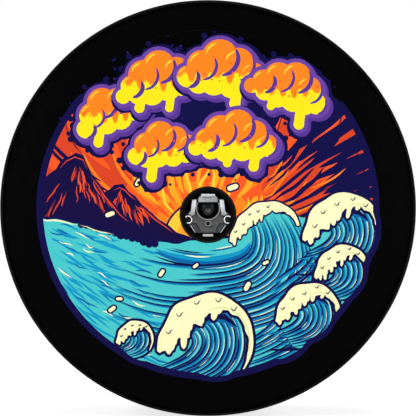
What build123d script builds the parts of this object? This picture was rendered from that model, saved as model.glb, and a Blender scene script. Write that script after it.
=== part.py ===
from build123d import *

import math
import os

# Spare tyre cover with a rear-view camera port, and the camera module that looks out through it.
#
# Millimetres: the tyre's axle is the Y axis, the printed face looks along -Y, +Z is up.
# The origin is the centre of the tyre that the cover is stretched over.
# The cover is sewn vinyl: a front panel, a side band round the tread and a gathered rear skirt.
# The camera module stands on its own post, which bolts to the wheel carrier behind it.

# ---------------------------------------------------------------- driving dimensions
TYRE_DIAMETER = 815.0
TYRE_WIDTH = 255.0
VINYL = 1.2  # thickness of the coated fabric
EASE = 0.5  # play between the tyre and the cover

# sewn shell
PANEL_FLAT_R = 300.0  # the front panel is flat inside this radius
PANEL_BEND_R = 213.2  # radius of its outer face where it bends back to the seam
SEAM_SLOPE = 28.5  # degrees that the panel has turned at the seam
SHOULDER_R = 40.0  # radius of the side band's outer face at both shoulders
SKIRT_FLAT_R = 345.0  # the rear skirt is flat inside this radius
ALLOWANCE = 9.0  # seam allowance turned inwards
TAIL = 0.8  # thickness of the piping's tail
PIPING_R = 3.0
PIPING_CORE_R = 1.9
BINDING = 0.9  # thickness of the binding tape over a seam
BAND_GAP_DEG = 0.1  # the band's two ends nearly meet at the bottom

# rear hem
HEM_R = 299.0
ELASTIC_R = 3.0
CASING_BORE_R = 3.3
CASING_R = 4.3
CASING_LEG = 0.8
CASING_LEG_LENGTH = 14.5
FERRULE_BORE_R = 3.05
FERRULE_R = 3.25
FERRULE_DEG = 4.0
ELASTIC_GAP_DEG = 0.2

# eyelets
DRAIN_ANGLES = (-97.0, -83.0)  # degrees round the axle, near the bottom of the band
DRAIN_Y = 30.0
LOCK_EYELET_ANGLES = (-110.0, -70.0)
LOCK_EYELET_R = 325.0
EYELET_BARREL_R = 6.0
EYELET_BORE_R = 5.0
EYELET_FLANGE_R = 10.5
EYELET_SHEET = 0.8
EYELET_HOLE_R = 6.1

# camera port
PORT_Z = -13.0  # the port sits this far below the axle
PORT_HOLE_R = 48.0
PORT_BINDING_R = 55.0
PORT_BORE_R = 47.0
STIFFENER = 0.8

# camera module: depths are Y, and sketch places are X and Z from the port's centre
SHROUD_R = 45.8
SHROUD_WALL = 1.4
SHROUD_FRONT = -127.0
SHROUD_FLOOR = -78.5
SHROUD_BACK = -76.0
BRACKET_BACK = -114.0
BRACKET_FRONT = -120.0
COUNTERBORE = -117.0
BRACKET_CLIP_R = 43.8
HEAD_UP = 13.0  # the camera head's centre above the port's centre
HEAD_Y = -100.0
HEAD_R = 19.5
HEAD_WALL = 1.8
HEAD_PITCH = 18.0  # degrees that the lens looks below the horizon
SOCKET_R = 20.3
LIP_R = 23.2  # the socket's flared lip
LIP_FRONT = -123.4
ARM_FRONT = -125.5
ARM_CROWN = (10.0, 60.0)  # height of the arm's highest line above the port's centre, and its radius
CHIN_FRONT = -123.0
CHIN_CROWN = (-10.0, 180.0)
HOOK_X, HOOK_Z = 38.5, -9.5
HOOK_R = 6.0
LEG_PLACES = ((-27.0, 24.0), (27.0, 24.0), (-25.0, -24.0), (25.0, -24.0))
LEG_R = 4.5
SCREW_R = 1.95
PIN_R = 3.0
PIN_PLAY = 0.05
CHIN_Z = -17.0  # centre of the chin cover's screw
GLAND_R = 6.0

# post and flange
POST_R = 22.0
POST_BORE_R = 19.5
HEAD_PLATE_R = 40.0
HEAD_PLATE_BACK = -73.0
FLANGE_FRONT = -57.0
FLANGE_BACK = -52.0
FLANGE_R = 50.0
BOLT_CIRCLE_R = 40.0
BOLT_HOLE_R = 3.3
BOLT_ANGLES = (90.0, 210.0, 330.0)

# ---------------------------------------------------------------- derived places
BAND_INNER = TYRE_DIAMETER / 2 + EASE
BAND_OUTER = BAND_INNER + VINYL
FACE_IN = TYRE_WIDTH / 2 + EASE  # inner face of the panel and skirt, either side of centre
FACE_OUT = FACE_IN + VINYL
PANEL_CENTRE_Y = PANEL_BEND_R - FACE_OUT
SEAM_R = PANEL_FLAT_R + PANEL_BEND_R * math.sin(math.radians(SEAM_SLOPE))
SEAM_Y = PANEL_BEND_R * math.cos(math.radians(SEAM_SLOPE)) - PANEL_CENTRE_Y
SHOULDER_CENTRE_R = BAND_OUTER - SHOULDER_R
SHOULDER_Y = SEAM_Y - math.sqrt(SHOULDER_R**2 - (SEAM_R - SHOULDER_CENTRE_R) ** 2)
SKIRT_RISE = FACE_OUT - SEAM_Y
SKIRT_BEND_R = ((SEAM_R - SKIRT_FLAT_R) ** 2 + SKIRT_RISE**2) / (2 * SKIRT_RISE)
CASING_Y = FACE_OUT + VINYL - CASING_R
SKIRT_EDGE_R = HEM_R + CASING_R + 0.2
PIPING_OUT = PIPING_R + 0.1  # piping's centre outside the seam's corner


# ---------------------------------------------------------------- helpers
def ring(profile, degrees=360.0):
    """Turns a profile, drawn with x as radius and y along the axle, round the axle."""
    return revolve(profile, axis=Axis.Y, revolution_arc=degrees)


def box_profile(r0, r1, y0, y1):
    return Pos((r0 + r1) / 2, (y0 + y1) / 2) * Rectangle(abs(r1 - r0), abs(y1 - y0))


def sector(centre, r_in, r_out, start, end):
    """A curved strip of profile between two radii, from angle start to end in degrees."""

    def at(radius, degrees):
        a = math.radians(degrees)
        return (centre[0] + radius * math.cos(a), centre[1] + radius * math.sin(a))

    mid = (start + end) / 2
    outline = [
        ThreePointArc(at(r_out, start), at(r_out, mid), at(r_out, end)),
        Line(at(r_out, end), at(r_in, end)),
        ThreePointArc(at(r_in, end), at(r_in, mid), at(r_in, start)),
        Line(at(r_in, start), at(r_out, start)),
    ]
    return make_face(outline)


def along(origin, direction, start, end, low, high):
    """A rectangle of profile lying along a direction, from start to end, between two offsets to its left."""
    dx, dy = direction
    corners = [(start, low), (end, low), (end, high), (start, high)]
    points = [(origin[0] + dx * s - dy * o, origin[1] + dy * s + dx * o) for s, o in corners]
    return make_face(Polyline(*points, close=True))


def slab(sketch, back, front):
    """A plate parallel to the printed face, from depth back to depth front, placed from the port's centre."""
    return extrude(Plane.XZ.offset(-back) * (Pos(0, PORT_Z) * sketch), amount=back - front)


def both(half_points):
    """A face from the left half of its outline, listed from top centre to bottom centre."""
    right = [(-x, z) for x, z in reversed(half_points) if x != 0]
    return make_face(Polyline(*half_points, *right, close=True))


def rod_x(radius, x0, x1, y, z):
    """A round bar along X."""
    return Pos((x0 + x1) / 2, y, z) * Rot(0, 90, 0) * Cylinder(radius, abs(x1 - x0))


def rod_y(radius, y0, y1, x=0.0, z=0.0):
    """A round bar along Y."""
    return Pos(x, (y0 + y1) / 2, z) * Rot(90, 0, 0) * Cylinder(radius, abs(y1 - y0))


def round_axle(degrees):
    """Turns a thing that was placed at the +X side round the axle to that angle, +Z being 90."""
    return Rot(0, -degrees, 0)


def mirrored(thing):
    return thing + mirror(thing, about=Plane.YZ)


def tilted(thing):
    """Pitches a piece of the camera head down about its pivot."""
    pivot = Pos(0, HEAD_Y, PORT_Z + HEAD_UP)
    return pivot * Rot(HEAD_PITCH, 0, 0) * thing


# ---------------------------------------------------------------- seams
FRONT_CORNER = (SEAM_R, -SEAM_Y)
REAR_CORNER = (SEAM_R, SEAM_Y)
PANEL_TURN = math.radians(SEAM_SLOPE)
SHOULDER_TURN = math.acos((SEAM_R - SHOULDER_CENTRE_R) / SHOULDER_R)
FRONT_TILT = (math.pi / 2 - PANEL_TURN + SHOULDER_TURN) / 2  # the seam's outward direction below +X
FRONT_IN = (-math.cos(FRONT_TILT), math.sin(FRONT_TILT))
REAR_IN = (-math.cos(FRONT_TILT), -math.sin(FRONT_TILT))
FAR = 60.0  # longer than any seam is deep


def seam_side(corner, inward, side):
    """Everything within reach on one side of a seam's tail; side is 1 for its left, -1 for its right."""
    near, far = side * TAIL / 2, side * FAR
    return along(corner, inward, -FAR, FAR, min(near, far), max(near, far))


def allowance(corner, inward, side):
    near, far = side * TAIL / 2, side * (TAIL / 2 + VINYL)
    return along(corner, inward, 0.6, ALLOWANCE, min(near, far), max(near, far))


def binding(corner, inward):
    """Tape folded over the raw edges of a seam's two allowances."""
    half = TAIL / 2 + VINYL
    outer = along(corner, inward, 3.5, ALLOWANCE + BINDING, -half - BINDING, half + BINDING)
    return ring(outer - along(corner, inward, 0, ALLOWANCE, -half, half))


# ---------------------------------------------------------------- sewn cover
def front_panel():
    start = -90.0
    bend = sector(
        (PANEL_FLAT_R, PANEL_CENTRE_Y), PANEL_BEND_R - VINYL, PANEL_BEND_R, start, start + SEAM_SLOPE + 1
    )
    flat = box_profile(0, PANEL_FLAT_R, -FACE_OUT, -FACE_IN)
    sheet = (flat + bend) - seam_side(FRONT_CORNER, FRONT_IN, -1) - tail_profile()
    panel = ring(sheet + allowance(FRONT_CORNER, FRONT_IN, 1))
    return panel - rod_y(PORT_HOLE_R, -FACE_OUT - 5, -FACE_IN + 5, z=PORT_Z)


def tail_profile():
    return along(FRONT_CORNER, FRONT_IN, -FAR / 10, FAR / 2, -TAIL / 2, TAIL / 2)


def band_profile():
    reach = math.degrees(SHOULDER_TURN) + 2
    straight = box_profile(BAND_INNER, BAND_OUTER, -SHOULDER_Y, SHOULDER_Y)
    profile = straight
    for side, corner, inward, left in ((-1, FRONT_CORNER, FRONT_IN, -1), (1, REAR_CORNER, REAR_IN, 1)):
        low, high = sorted((0.0, side * reach))
        centre = (SHOULDER_CENTRE_R, side * SHOULDER_Y)
        bend = sector(centre, SHOULDER_R - VINYL, SHOULDER_R, low, high)
        tail = along(corner, inward, -FAR / 10, FAR / 2, -TAIL / 2, TAIL / 2)
        bend = bend - seam_side(corner, inward, -left) - tail
        profile = profile + bend + allowance(corner, inward, left)
    return profile


def side_band():
    band = round_axle(-90.0 + BAND_GAP_DEG / 2) * ring(band_profile(), 360.0 - BAND_GAP_DEG)
    for degrees in DRAIN_ANGLES:
        band = band - round_axle(degrees) * rod_x(EYELET_HOLE_R, BAND_INNER - 5, BAND_OUTER + 5, DRAIN_Y, 0)
    return band


def band_joint_strip():
    """The reinforcing strip behind the band's butted ends."""
    strip = box_profile(BAND_INNER - 1.3, BAND_INNER - 0.1, -SHOULDER_Y, SHOULDER_Y)
    degrees = 5.0
    return round_axle(-90.0 - degrees / 2 + degrees) * ring(strip, degrees)


def piping_centre():
    return (SEAM_R - FRONT_IN[0] * PIPING_OUT, -SEAM_Y - FRONT_IN[1] * PIPING_OUT)


def piping_cover():
    tail = along(FRONT_CORNER, FRONT_IN, -PIPING_OUT, ALLOWANCE, -TAIL / 2, TAIL / 2)
    tube = Pos(*piping_centre()) * Circle(PIPING_R)
    return ring(tube + tail - Pos(*piping_centre()) * Circle(PIPING_CORE_R))


def piping_core():
    return ring(Pos(*piping_centre()) * Circle(PIPING_CORE_R))


def rear_skirt():
    flat = box_profile(SKIRT_EDGE_R, SKIRT_FLAT_R, FACE_IN, FACE_OUT)
    turn = math.degrees(math.asin((SEAM_R - SKIRT_FLAT_R) / SKIRT_BEND_R))
    centre = (SKIRT_FLAT_R, FACE_OUT - SKIRT_BEND_R)
    bend = sector(centre, SKIRT_BEND_R - VINYL, SKIRT_BEND_R, 90.0 - turn - 1, 90.0)
    tail = along(REAR_CORNER, REAR_IN, -FAR / 10, FAR / 2, -TAIL / 2, TAIL / 2)
    sheet = (flat + bend) - seam_side(REAR_CORNER, REAR_IN, 1) - tail
    skirt = ring(sheet + allowance(REAR_CORNER, REAR_IN, -1))
    for degrees in LOCK_EYELET_ANGLES:
        hole = rod_y(EYELET_HOLE_R, FACE_IN - 5, FACE_OUT + 5, x=LOCK_EYELET_R)
        skirt = skirt - round_axle(degrees) * hole
    return skirt


def rear_seam_tape():
    """The stay tape sewn between the band and the skirt."""
    return ring(along(REAR_CORNER, REAR_IN, 1.4, ALLOWANCE, -TAIL / 2, TAIL / 2))


def hem_casing():
    tube = Pos(HEM_R, CASING_Y) * Circle(CASING_R)
    legs = [
        box_profile(HEM_R, HEM_R + CASING_LEG_LENGTH, FACE_OUT, FACE_OUT + CASING_LEG),
        box_profile(HEM_R + CASING_BORE_R, HEM_R + CASING_LEG_LENGTH, FACE_IN - CASING_LEG, FACE_IN),
    ]
    return ring(tube + legs[0] + legs[1] - Pos(HEM_R, CASING_Y) * Circle(CASING_BORE_R))


def elastic_cord():
    degrees = 360.0 - ELASTIC_GAP_DEG
    cord = ring(Pos(HEM_R, CASING_Y) * Circle(ELASTIC_R), degrees)
    return round_axle(90.0 + ELASTIC_GAP_DEG / 2 + degrees) * cord


def elastic_ferrule():
    """The sleeve that joins the elastic's two ends at the top of the hem."""
    tube = Pos(HEM_R, CASING_Y) * (Circle(FERRULE_R) - Circle(FERRULE_BORE_R))
    return round_axle(90.0 + FERRULE_DEG / 2) * ring(tube, FERRULE_DEG)


def eyelet(sheet_inner, sheet_outer):
    """A flanged eyelet along +X through a sheet between two depths, and its washer."""
    face = sheet_outer + EYELET_SHEET + 0.15
    back = sheet_inner - EYELET_SHEET - 0.15
    barrel = rod_x(EYELET_BARREL_R, back, face, 0, 0)
    flange = rod_x(EYELET_FLANGE_R, face - EYELET_SHEET, face, 0, 0)
    body = barrel + flange - rod_x(EYELET_BORE_R, back - 1, face + 1, 0, 0)
    washer = rod_x(EYELET_FLANGE_R, back, back + EYELET_SHEET, 0, 0)
    return body, washer - rod_x(EYELET_BARREL_R, back - 1, face + 1, 0, 0)


def drain_eyelets():
    body, washer = eyelet(BAND_INNER, BAND_OUTER)
    places = [round_axle(a) * Pos(0, DRAIN_Y, 0) for a in DRAIN_ANGLES]
    return Compound([p * body for p in places]), Compound([p * washer for p in places])


def lock_eyelets():
    body, washer = eyelet(FACE_IN, FACE_OUT)
    places = [round_axle(a) * Pos(LOCK_EYELET_R, 0, 0) * Rot(0, 0, 90) for a in LOCK_EYELET_ANGLES]
    return Compound([p * body for p in places]), Compound([p * washer for p in places])


# ---------------------------------------------------------------- camera port
def port_ring(r0, r1, y0, y1):
    return Pos(0, 0, PORT_Z) * ring(box_profile(r0, r1, y0, y1))


def port_binding():
    back = -FACE_IN + STIFFENER
    outline = box_profile(PORT_BORE_R, PORT_BINDING_R, -FACE_OUT - VINYL, back + VINYL)
    inside = box_profile(PORT_HOLE_R, PORT_BINDING_R + 1, -FACE_OUT, back)
    return Pos(0, 0, PORT_Z) * ring(outline - inside)


def port_stiffener():
    return port_ring(PORT_HOLE_R, PORT_BINDING_R - 0.5, -FACE_IN, -FACE_IN + STIFFENER)


# ---------------------------------------------------------------- camera module, fixed pieces
def crowned(moulding, front, crown):
    """Rounds a moulding's face about a line along X, which stays at the depth front."""
    up, radius = crown
    return moulding & rod_x(radius, -SHROUD_R, SHROUD_R, front + radius, PORT_Z + up)


def collar(up, *profile):
    """A turned ring round the line that is up from the port's centre, from points of radius and depth."""
    return Pos(0, 0, PORT_Z + up) * ring(make_face(Polyline(*profile, close=True)))


def camera_shroud():
    """The round moulded cup that the camera sits in."""
    wall = Circle(SHROUD_R) - Circle(SHROUD_R - SHROUD_WALL)
    cup = slab(wall, SHROUD_BACK, SHROUD_FRONT) + slab(Circle(SHROUD_R), SHROUD_BACK, SHROUD_FLOOR)
    inside = Circle(SHROUD_R - SHROUD_WALL / 2)
    for x in (-HOOK_X, HOOK_X):
        boss = inside & (Pos(x, HOOK_Z) * Circle(5.0))
        cup = cup + slab(boss, SHROUD_FLOOR, BRACKET_BACK)
        cup = cup - slab(Pos(x, HOOK_Z) * Circle(SCREW_R + PIN_PLAY), SHROUD_FLOOR - 12, BRACKET_BACK)
    ledge = inside & (Pos(0, -42) * Rectangle(28, 9))
    cup = cup + slab(ledge, -112, -116)
    for x, z in LEG_PLACES:
        cup = cup - slab(Pos(x, z) * Circle(SCREW_R + 0.25), SHROUD_BACK, SHROUD_FLOOR)
    return cup - slab(Circle(GLAND_R + PIN_PLAY), SHROUD_BACK, SHROUD_FLOOR)


def bracket_outline():
    half = [
        (0, 36), (-17, 36), (-21, 31), (-31, 30), (-34, 8), (-46, -2),
        (-46, -17.5), (-37, -19.5), (-25.5, -35.5), (0, -35.5),
    ]  # fmt: skip
    return both(half) & Circle(BRACKET_CLIP_R)


def arm_outline():
    half = [
        (-22.5, 29.5), (-30.8, 29.2), (-33.2, 8), (-37.5, 1.5),
        (-33, -2), (-26.2, -1), (-25, 8), (-23, 20),
    ]  # fmt: skip
    return make_face(Polyline(*half, close=True))


def arm_cap():
    """The light moulding along the bracket's left side, crowned along its length."""
    return crowned(slab(arm_outline(), BRACKET_FRONT, ARM_FRONT), ARM_FRONT, ARM_CROWN)


def side_hooks():
    """Two bright C-shaped hooks round the side screws, open outwards."""
    place = Pos(-HOOK_X, HOOK_Z)
    lip = place * (Circle(HOOK_R + 1.9) - Circle(HOOK_R))
    hook = slab(lip & Circle(BRACKET_CLIP_R), BRACKET_FRONT, -123.5)
    return Compound([hook, mirror(hook, about=Plane.YZ)])


def socket_lip():
    """The lip round the head's socket, flared outwards and cut off level under the bridge cap."""
    lip = collar(
        HEAD_UP,
        (SOCKET_R, BRACKET_FRONT), (LIP_R, BRACKET_FRONT), (LIP_R, LIP_FRONT), (LIP_R - 0.8, LIP_FRONT),
    )  # fmt: skip
    return lip & slab(Rectangle(2 * LIP_R, 46), BRACKET_FRONT, LIP_FRONT)


def camera_bracket():
    """The casting with a round socket for the head, four legs, two cheeks and a slotted ear on each side."""
    socket = Pos(0, HEAD_UP) * Circle(SOCKET_R)
    plate = slab(bracket_outline(), BRACKET_BACK, BRACKET_FRONT)
    casting = plate + socket_lip()
    for x, z in LEG_PLACES:
        casting = casting + slab(Pos(x, z) * Circle(LEG_R), SHROUD_FLOOR, BRACKET_BACK)
    cheek = Pos(25.2, -102.5, PORT_Z + HEAD_UP) * Box(7.2, 23, 13)
    casting = casting + mirrored(cheek)
    casting = casting - slab(socket, BRACKET_BACK + 1, LIP_FRONT)
    for x in (-HOOK_X, HOOK_X):
        casting = casting - slab(Pos(x, HOOK_Z) * Circle(HOOK_R), COUNTERBORE, -126)
        slot = Pos(x * 1.1, HOOK_Z) * Rectangle(8, 6.4) + Pos(x, HOOK_Z) * Circle(3.2)
        casting = casting - slab(slot, BRACKET_BACK + 1, -126)
    for x, z in LEG_PLACES:
        casting = casting - slab(Pos(x, z) * Circle(SCREW_R + PIN_PLAY), SHROUD_FLOOR, -100)
    casting = casting - rod_x(PIN_R + PIN_PLAY, -40, 40, HEAD_Y, PORT_Z + HEAD_UP)
    return casting - slab(Pos(0, CHIN_Z) * Circle(SCREW_R), BRACKET_BACK, BRACKET_FRONT)


def chin_cover():
    """The dark cover below the socket, with a raised ring round its screw."""
    half = [
        (0, -8), (-20, 3), (-25, 0), (-30, -4.5), (-30.2, -14), (-28.5, -15.8),
        (-22, -16.2), (-15.8, -26.6), (-14, -34), (0, -34),
    ]  # fmt: skip
    outline = both(half) - Pos(0, HEAD_UP) * Circle(LIP_R + 0.2)
    cover = crowned(slab(outline, BRACKET_FRONT, CHIN_FRONT), CHIN_FRONT, CHIN_CROWN)
    root, face = CHIN_FRONT + 0.6, CHIN_FRONT - 1.6
    cover = cover + collar(CHIN_Z, (0, root), (6.5, root), (5.4, face), (0, face))
    cover = cover - slab(Pos(0, CHIN_Z) * Circle(4.0), -121.6, -126)
    return cover - slab(Pos(0, CHIN_Z) * Circle(SCREW_R + 0.25), BRACKET_FRONT, -126)


def chin_screw():
    head = slab(Pos(0, CHIN_Z) * Circle(3.7), -121.6, -124.2)
    shank = slab(Pos(0, CHIN_Z) * Circle(SCREW_R - PIN_PLAY), -115, -121.6)
    return head + shank - slab(Pos(0, CHIN_Z) * RegularPolygon(1.6, 6), -122.4, -125)


CLIP_LEAN = -56.0  # degrees that the clip's grooves and outer side lean
CLIP_GROOVES = (4.0, 6.5, 9.0)  # how far each groove is from the clip's outer side


def corner_clip():
    """A spring clip between the shroud and the bracket's lower corner."""
    outline = make_face(Polyline((-35, -20.6), (-23.7, -18.6), (-17.6, -27.6), (-25.3, -35.0), close=True))
    clip = slab(outline, BRACKET_FRONT, -122.0)
    for inward in CLIP_GROOVES:
        place = Pos(-30.2 + 0.83 * inward, -27.8 + 0.56 * inward) * Rot(0, 0, CLIP_LEAN)
        clip = clip - slab(place * Rectangle(9.0, 0.8), -121.3, -122.0)
    lip = make_face(Polyline((-35, -20.6), (-33.2, -20.4), (-24.2, -34.0), (-25.3, -35.0), close=True))
    top_lip = make_face(Polyline((-35, -20.6), (-23.7, -18.6), (-24.3, -19.6), (-34.3, -21.5), close=True))
    return clip + slab(lip, -122.0, -124.5) + slab(top_lip, -122.0, -123.2)


def bridge_cap():
    outline = both([(0, 36), (-15.5, 36), (-18.5, 31.5), (-18.5, 24.6), (0, 24.6)])
    top_edge = outline & (Pos(0, 38) * Rectangle(40, 5))
    cap = slab(outline, BRACKET_FRONT - 2.8, SHROUD_FRONT) + slab(top_edge, BRACKET_FRONT, SHROUD_FRONT)
    return cap - slab(Pos(-2, 33.2) * Rectangle(17, 1.5), -124.5, SHROUD_FRONT - 1)


def latch_bar():
    bar = slab(Pos(0, 38.2) * Rectangle(27, 4.2), BRACKET_BACK, -125.5)
    for x in (-11.3, 11.3):
        bar = bar + slab(Pos(x, 38.6) * Circle(2.3) & (Pos(x, 38.2) * Rectangle(5, 4.2)), -125.5, -127.0)
    return bar


def blank_badge():
    return slab(Pos(0, -40.2) * RectangleRounded(20, 4.4, 1.2), -116, -117)


def side_screws():
    pair = []
    for x in (-HOOK_X, HOOK_X):
        head = slab(Pos(x, HOOK_Z) * Circle(4.0), COUNTERBORE - 0.8, COUNTERBORE - 3.6)
        head = head - slab(Pos(x, HOOK_Z) * RegularPolygon(2.0, 6), COUNTERBORE - 2.0, COUNTERBORE - 4)
        shank = slab(Pos(x, HOOK_Z) * Circle(SCREW_R), -104, COUNTERBORE - 0.8)
        pair.append(head + shank)
    return Compound(pair)


def side_washers():
    flat = Circle(4.5) - Circle(SCREW_R + 0.15)
    return Compound([slab(Pos(x, HOOK_Z) * flat, COUNTERBORE, COUNTERBORE - 0.8) for x in (-HOOK_X, HOOK_X)])


def bracket_screws():
    """Four screws from behind the head plate, through the shroud, into the bracket's legs."""
    four = []
    for x, z in LEG_PLACES:
        head = slab(Pos(x, z) * Circle(3.8), HEAD_PLATE_BACK + 2.6, HEAD_PLATE_BACK)
        shank = slab(Pos(x, z) * Circle(SCREW_R), HEAD_PLATE_BACK, -96)
        socket = slab(Pos(x, z) * RegularPolygon(1.7, 6), HEAD_PLATE_BACK + 3, HEAD_PLATE_BACK + 1)
        four.append(head + shank - socket)
    return Compound(four)


def cable_gland():
    body = slab(Circle(GLAND_R), HEAD_PLATE_BACK + 6, SHROUD_FLOOR - 2.8)
    body = body + slab(RegularPolygon(9.0, 6), SHROUD_BACK + 4, SHROUD_BACK)
    return body - slab(Circle(2.6), HEAD_PLATE_BACK + 8, SHROUD_FLOOR - 8)


def gland_nut():
    return slab(RegularPolygon(9.0, 6) - Circle(GLAND_R), SHROUD_FLOOR, SHROUD_FLOOR - 2.2)


def post_head_plate():
    plate = slab(Circle(HEAD_PLATE_R) - Circle(12.0), HEAD_PLATE_BACK, SHROUD_BACK)
    for x, z in LEG_PLACES:
        plate = plate - slab(Pos(x, z) * Circle(SCREW_R + 0.25), HEAD_PLATE_BACK, SHROUD_BACK)
    return plate


def post_tube():
    return slab(Circle(POST_R) - Circle(POST_BORE_R), FLANGE_FRONT, HEAD_PLATE_BACK)


def post_gussets():
    """Four webs welded between the tube, the head plate and the flange."""
    length = FLANGE_FRONT - HEAD_PLATE_BACK
    web = Pos(POST_R + 2.5, HEAD_PLATE_BACK + length / 2, 0) * Box(5.0, length, 3)
    web = web - rod_y(POST_R, FLANGE_FRONT + 5, HEAD_PLATE_BACK - 5)
    return Compound([Pos(0, 0, PORT_Z) * round_axle(a) * web for a in (0, 90, 180, 270)])


def post_flange():
    plate = rod_y(FLANGE_R, FLANGE_FRONT, FLANGE_BACK)
    plate = plate - rod_y(POST_BORE_R, FLANGE_FRONT - 5, FLANGE_BACK + 5, z=PORT_Z)
    for degrees in BOLT_ANGLES:
        hole = rod_y(BOLT_HOLE_R, FLANGE_FRONT - 5, FLANGE_BACK + 5, x=BOLT_CIRCLE_R)
        plate = plate - round_axle(degrees) * hole
    return plate


# ---------------------------------------------------------------- camera head, tilting pieces
# These are drawn about their own centre, looking along -Y, and then pitched down.
SPLIT = 5.0  # depth of the joint between the two shells
SEAL = 1.5
BACK_PLANE = 12.0
FRONT_PLANE = -17.0
BARREL_R = 7.4
BARREL_BORE_R = 5.6


def ball(radius, y0, y1):
    """The slice of a ball between two depths."""
    size = 3 * HEAD_R
    keep = Pos(0, (y0 + y1) / 2, 0) * Box(size, y1 - y0, size)
    return Sphere(radius) & keep


def head_front_shell():
    shell = ball(HEAD_R, FRONT_PLANE, SPLIT) - ball(HEAD_R - HEAD_WALL, FRONT_PLANE + HEAD_WALL, SPLIT + 1)
    shell = shell - rod_y(BARREL_R, FRONT_PLANE - 1, 0)
    turned = Rot(-HEAD_PITCH, 0, 0) * rod_x(PIN_R, -30, 30, 0, 0)
    return tilted(shell - turned)


def head_rear_shell():
    outer = ball(HEAD_R, SPLIT + SEAL, BACK_PLANE)
    shell = outer - ball(HEAD_R - HEAD_WALL, SPLIT, BACK_PLANE - HEAD_WALL)
    return tilted(shell - rod_y(3.0, BACK_PLANE - 4, BACK_PLANE + 1))


def head_seal():
    y0, y1 = SPLIT, SPLIT + SEAL
    return tilted(rod_y(18.2, y0, y1) - rod_y(16.6, y0 - 1, y1 + 1))


def head_cable_grommet():
    collar = rod_y(4.4, BACK_PLANE, BACK_PLANE + 1.6)
    neck = rod_y(3.0, BACK_PLANE - HEAD_WALL, BACK_PLANE)
    return tilted(collar + neck - rod_y(1.8, BACK_PLANE - 5, BACK_PLANE + 5))


def lens_barrel():
    tube = rod_y(BARREL_R, -19.6, -4.0) - rod_y(BARREL_BORE_R, -21, -6.0)
    return tilted(tube - rod_y(3.2, -7, -3))


def lens_retainer():
    return tilted(rod_y(BARREL_R, -20.8, -19.6) - rod_y(4.9, -22, -18))


def lens_glass():
    """The domed front element."""
    dome_r = 7.5
    dome = Pos(0, -19.4 + dome_r - 2.6, 0) * Sphere(dome_r)
    cap = dome & (Pos(0, -20.6, 0) * Box(20, 3.0, 20)) & rod_y(4.8, -30, -10)
    seat = rod_y(BARREL_BORE_R - 0.05, -19.55, -17.4)
    return tilted(cap + seat)


def rear_element():
    return tilted(rod_y(BARREL_BORE_R - 0.05, -12.0, -9.5))


def image_sensor():
    return tilted(Pos(0, -1.6, 0) * Box(9, 1.2, 9))


def sensor_board():
    board = Pos(0, -0.2, 0) * Box(22, 1.6, 22)
    socket = Pos(0, 2.8, -5) * Box(9, 4.4, 5)
    return tilted(board + socket)


def pivot_pins():
    """Shoulder pins that are pressed into the head and turn in the bracket's cheeks."""
    y, z = HEAD_Y, PORT_Z + HEAD_UP
    pin = rod_x(PIN_R, 17.9, 29.4, y, z) + rod_x(4.6, 29.4, 31.0, y, z)
    return Compound([pin, mirror(pin, about=Plane.YZ)])


def pivot_washers():
    y, z = HEAD_Y, PORT_Z + HEAD_UP
    washer = rod_x(5.4, 19.7, 21.4, y, z) - rod_x(PIN_R + PIN_PLAY, 18, 24, y, z)
    return Compound([washer, mirror(washer, about=Plane.YZ)])


# ---------------------------------------------------------------- write one file per node
def main():
    drains, drain_washers = drain_eyelets()
    locks, lock_washers = lock_eyelets()
    nodes = {
        "front_panel": front_panel(),
        "side_band": side_band(),
        "band_joint_strip": band_joint_strip(),
        "rear_skirt": rear_skirt(),
        "piping_cover": piping_cover(),
        "piping_core": piping_core(),
        "front_seam_binding": binding(FRONT_CORNER, FRONT_IN),
        "rear_seam_binding": binding(REAR_CORNER, REAR_IN),
        "rear_seam_tape": rear_seam_tape(),
        "hem_casing": hem_casing(),
        "elastic_cord": elastic_cord(),
        "elastic_ferrule": elastic_ferrule(),
        "drain_eyelets": drains,
        "drain_eyelet_washers": drain_washers,
        "lock_eyelets": locks,
        "lock_eyelet_washers": lock_washers,
        "port_binding": port_binding(),
        "port_stiffener": port_stiffener(),
        "camera_shroud": camera_shroud(),
        "camera_bracket": camera_bracket(),
        "arm_cap_left": arm_cap(),
        "arm_cap_right": mirror(arm_cap(), about=Plane.YZ),
        "side_hooks": side_hooks(),
        "chin_cover": chin_cover(),
        "chin_screw": chin_screw(),
        "corner_clip_left": corner_clip(),
        "corner_clip_right": mirror(corner_clip(), about=Plane.YZ),
        "bridge_cap": bridge_cap(),
        "latch_bar": latch_bar(),
        "blank_badge": blank_badge(),
        "side_screws": side_screws(),
        "side_washers": side_washers(),
        "bracket_screws": bracket_screws(),
        "cable_gland": cable_gland(),
        "gland_nut": gland_nut(),
        "post_head_plate": post_head_plate(),
        "post_tube": post_tube(),
        "post_gussets": post_gussets(),
        "post_flange": post_flange(),
        "head_front_shell": head_front_shell(),
        "head_rear_shell": head_rear_shell(),
        "head_seal": head_seal(),
        "head_cable_grommet": head_cable_grommet(),
        "lens_barrel": lens_barrel(),
        "lens_retainer": lens_retainer(),
        "lens_glass": lens_glass(),
        "rear_element": rear_element(),
        "image_sensor": image_sensor(),
        "sensor_board": sensor_board(),
        "pivot_pins": pivot_pins(),
        "pivot_washers": pivot_washers(),
    }
    os.makedirs("parts", exist_ok=True)
    for name, shape in nodes.items():
        export_step(shape, f"parts/{name}.step")


main()
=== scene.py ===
"""Looks for the spare tyre cover: printed vinyl face, piping, gathered skirt, and the camera in its port.

Everything is in metres, in the CAD frame: the printed face looks along -Y and +Z is up.
The printed picture is drawn in millimetres from the middle of the face, x to the right and z up.
"""

import random
from math import acos, asin, atan2, cos, hypot, pi, radians, sin

import bmesh
import bpy
import numpy as np
from mathutils import Matrix, Vector
from mathutils.geometry import delaunay_2d_cdt


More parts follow.
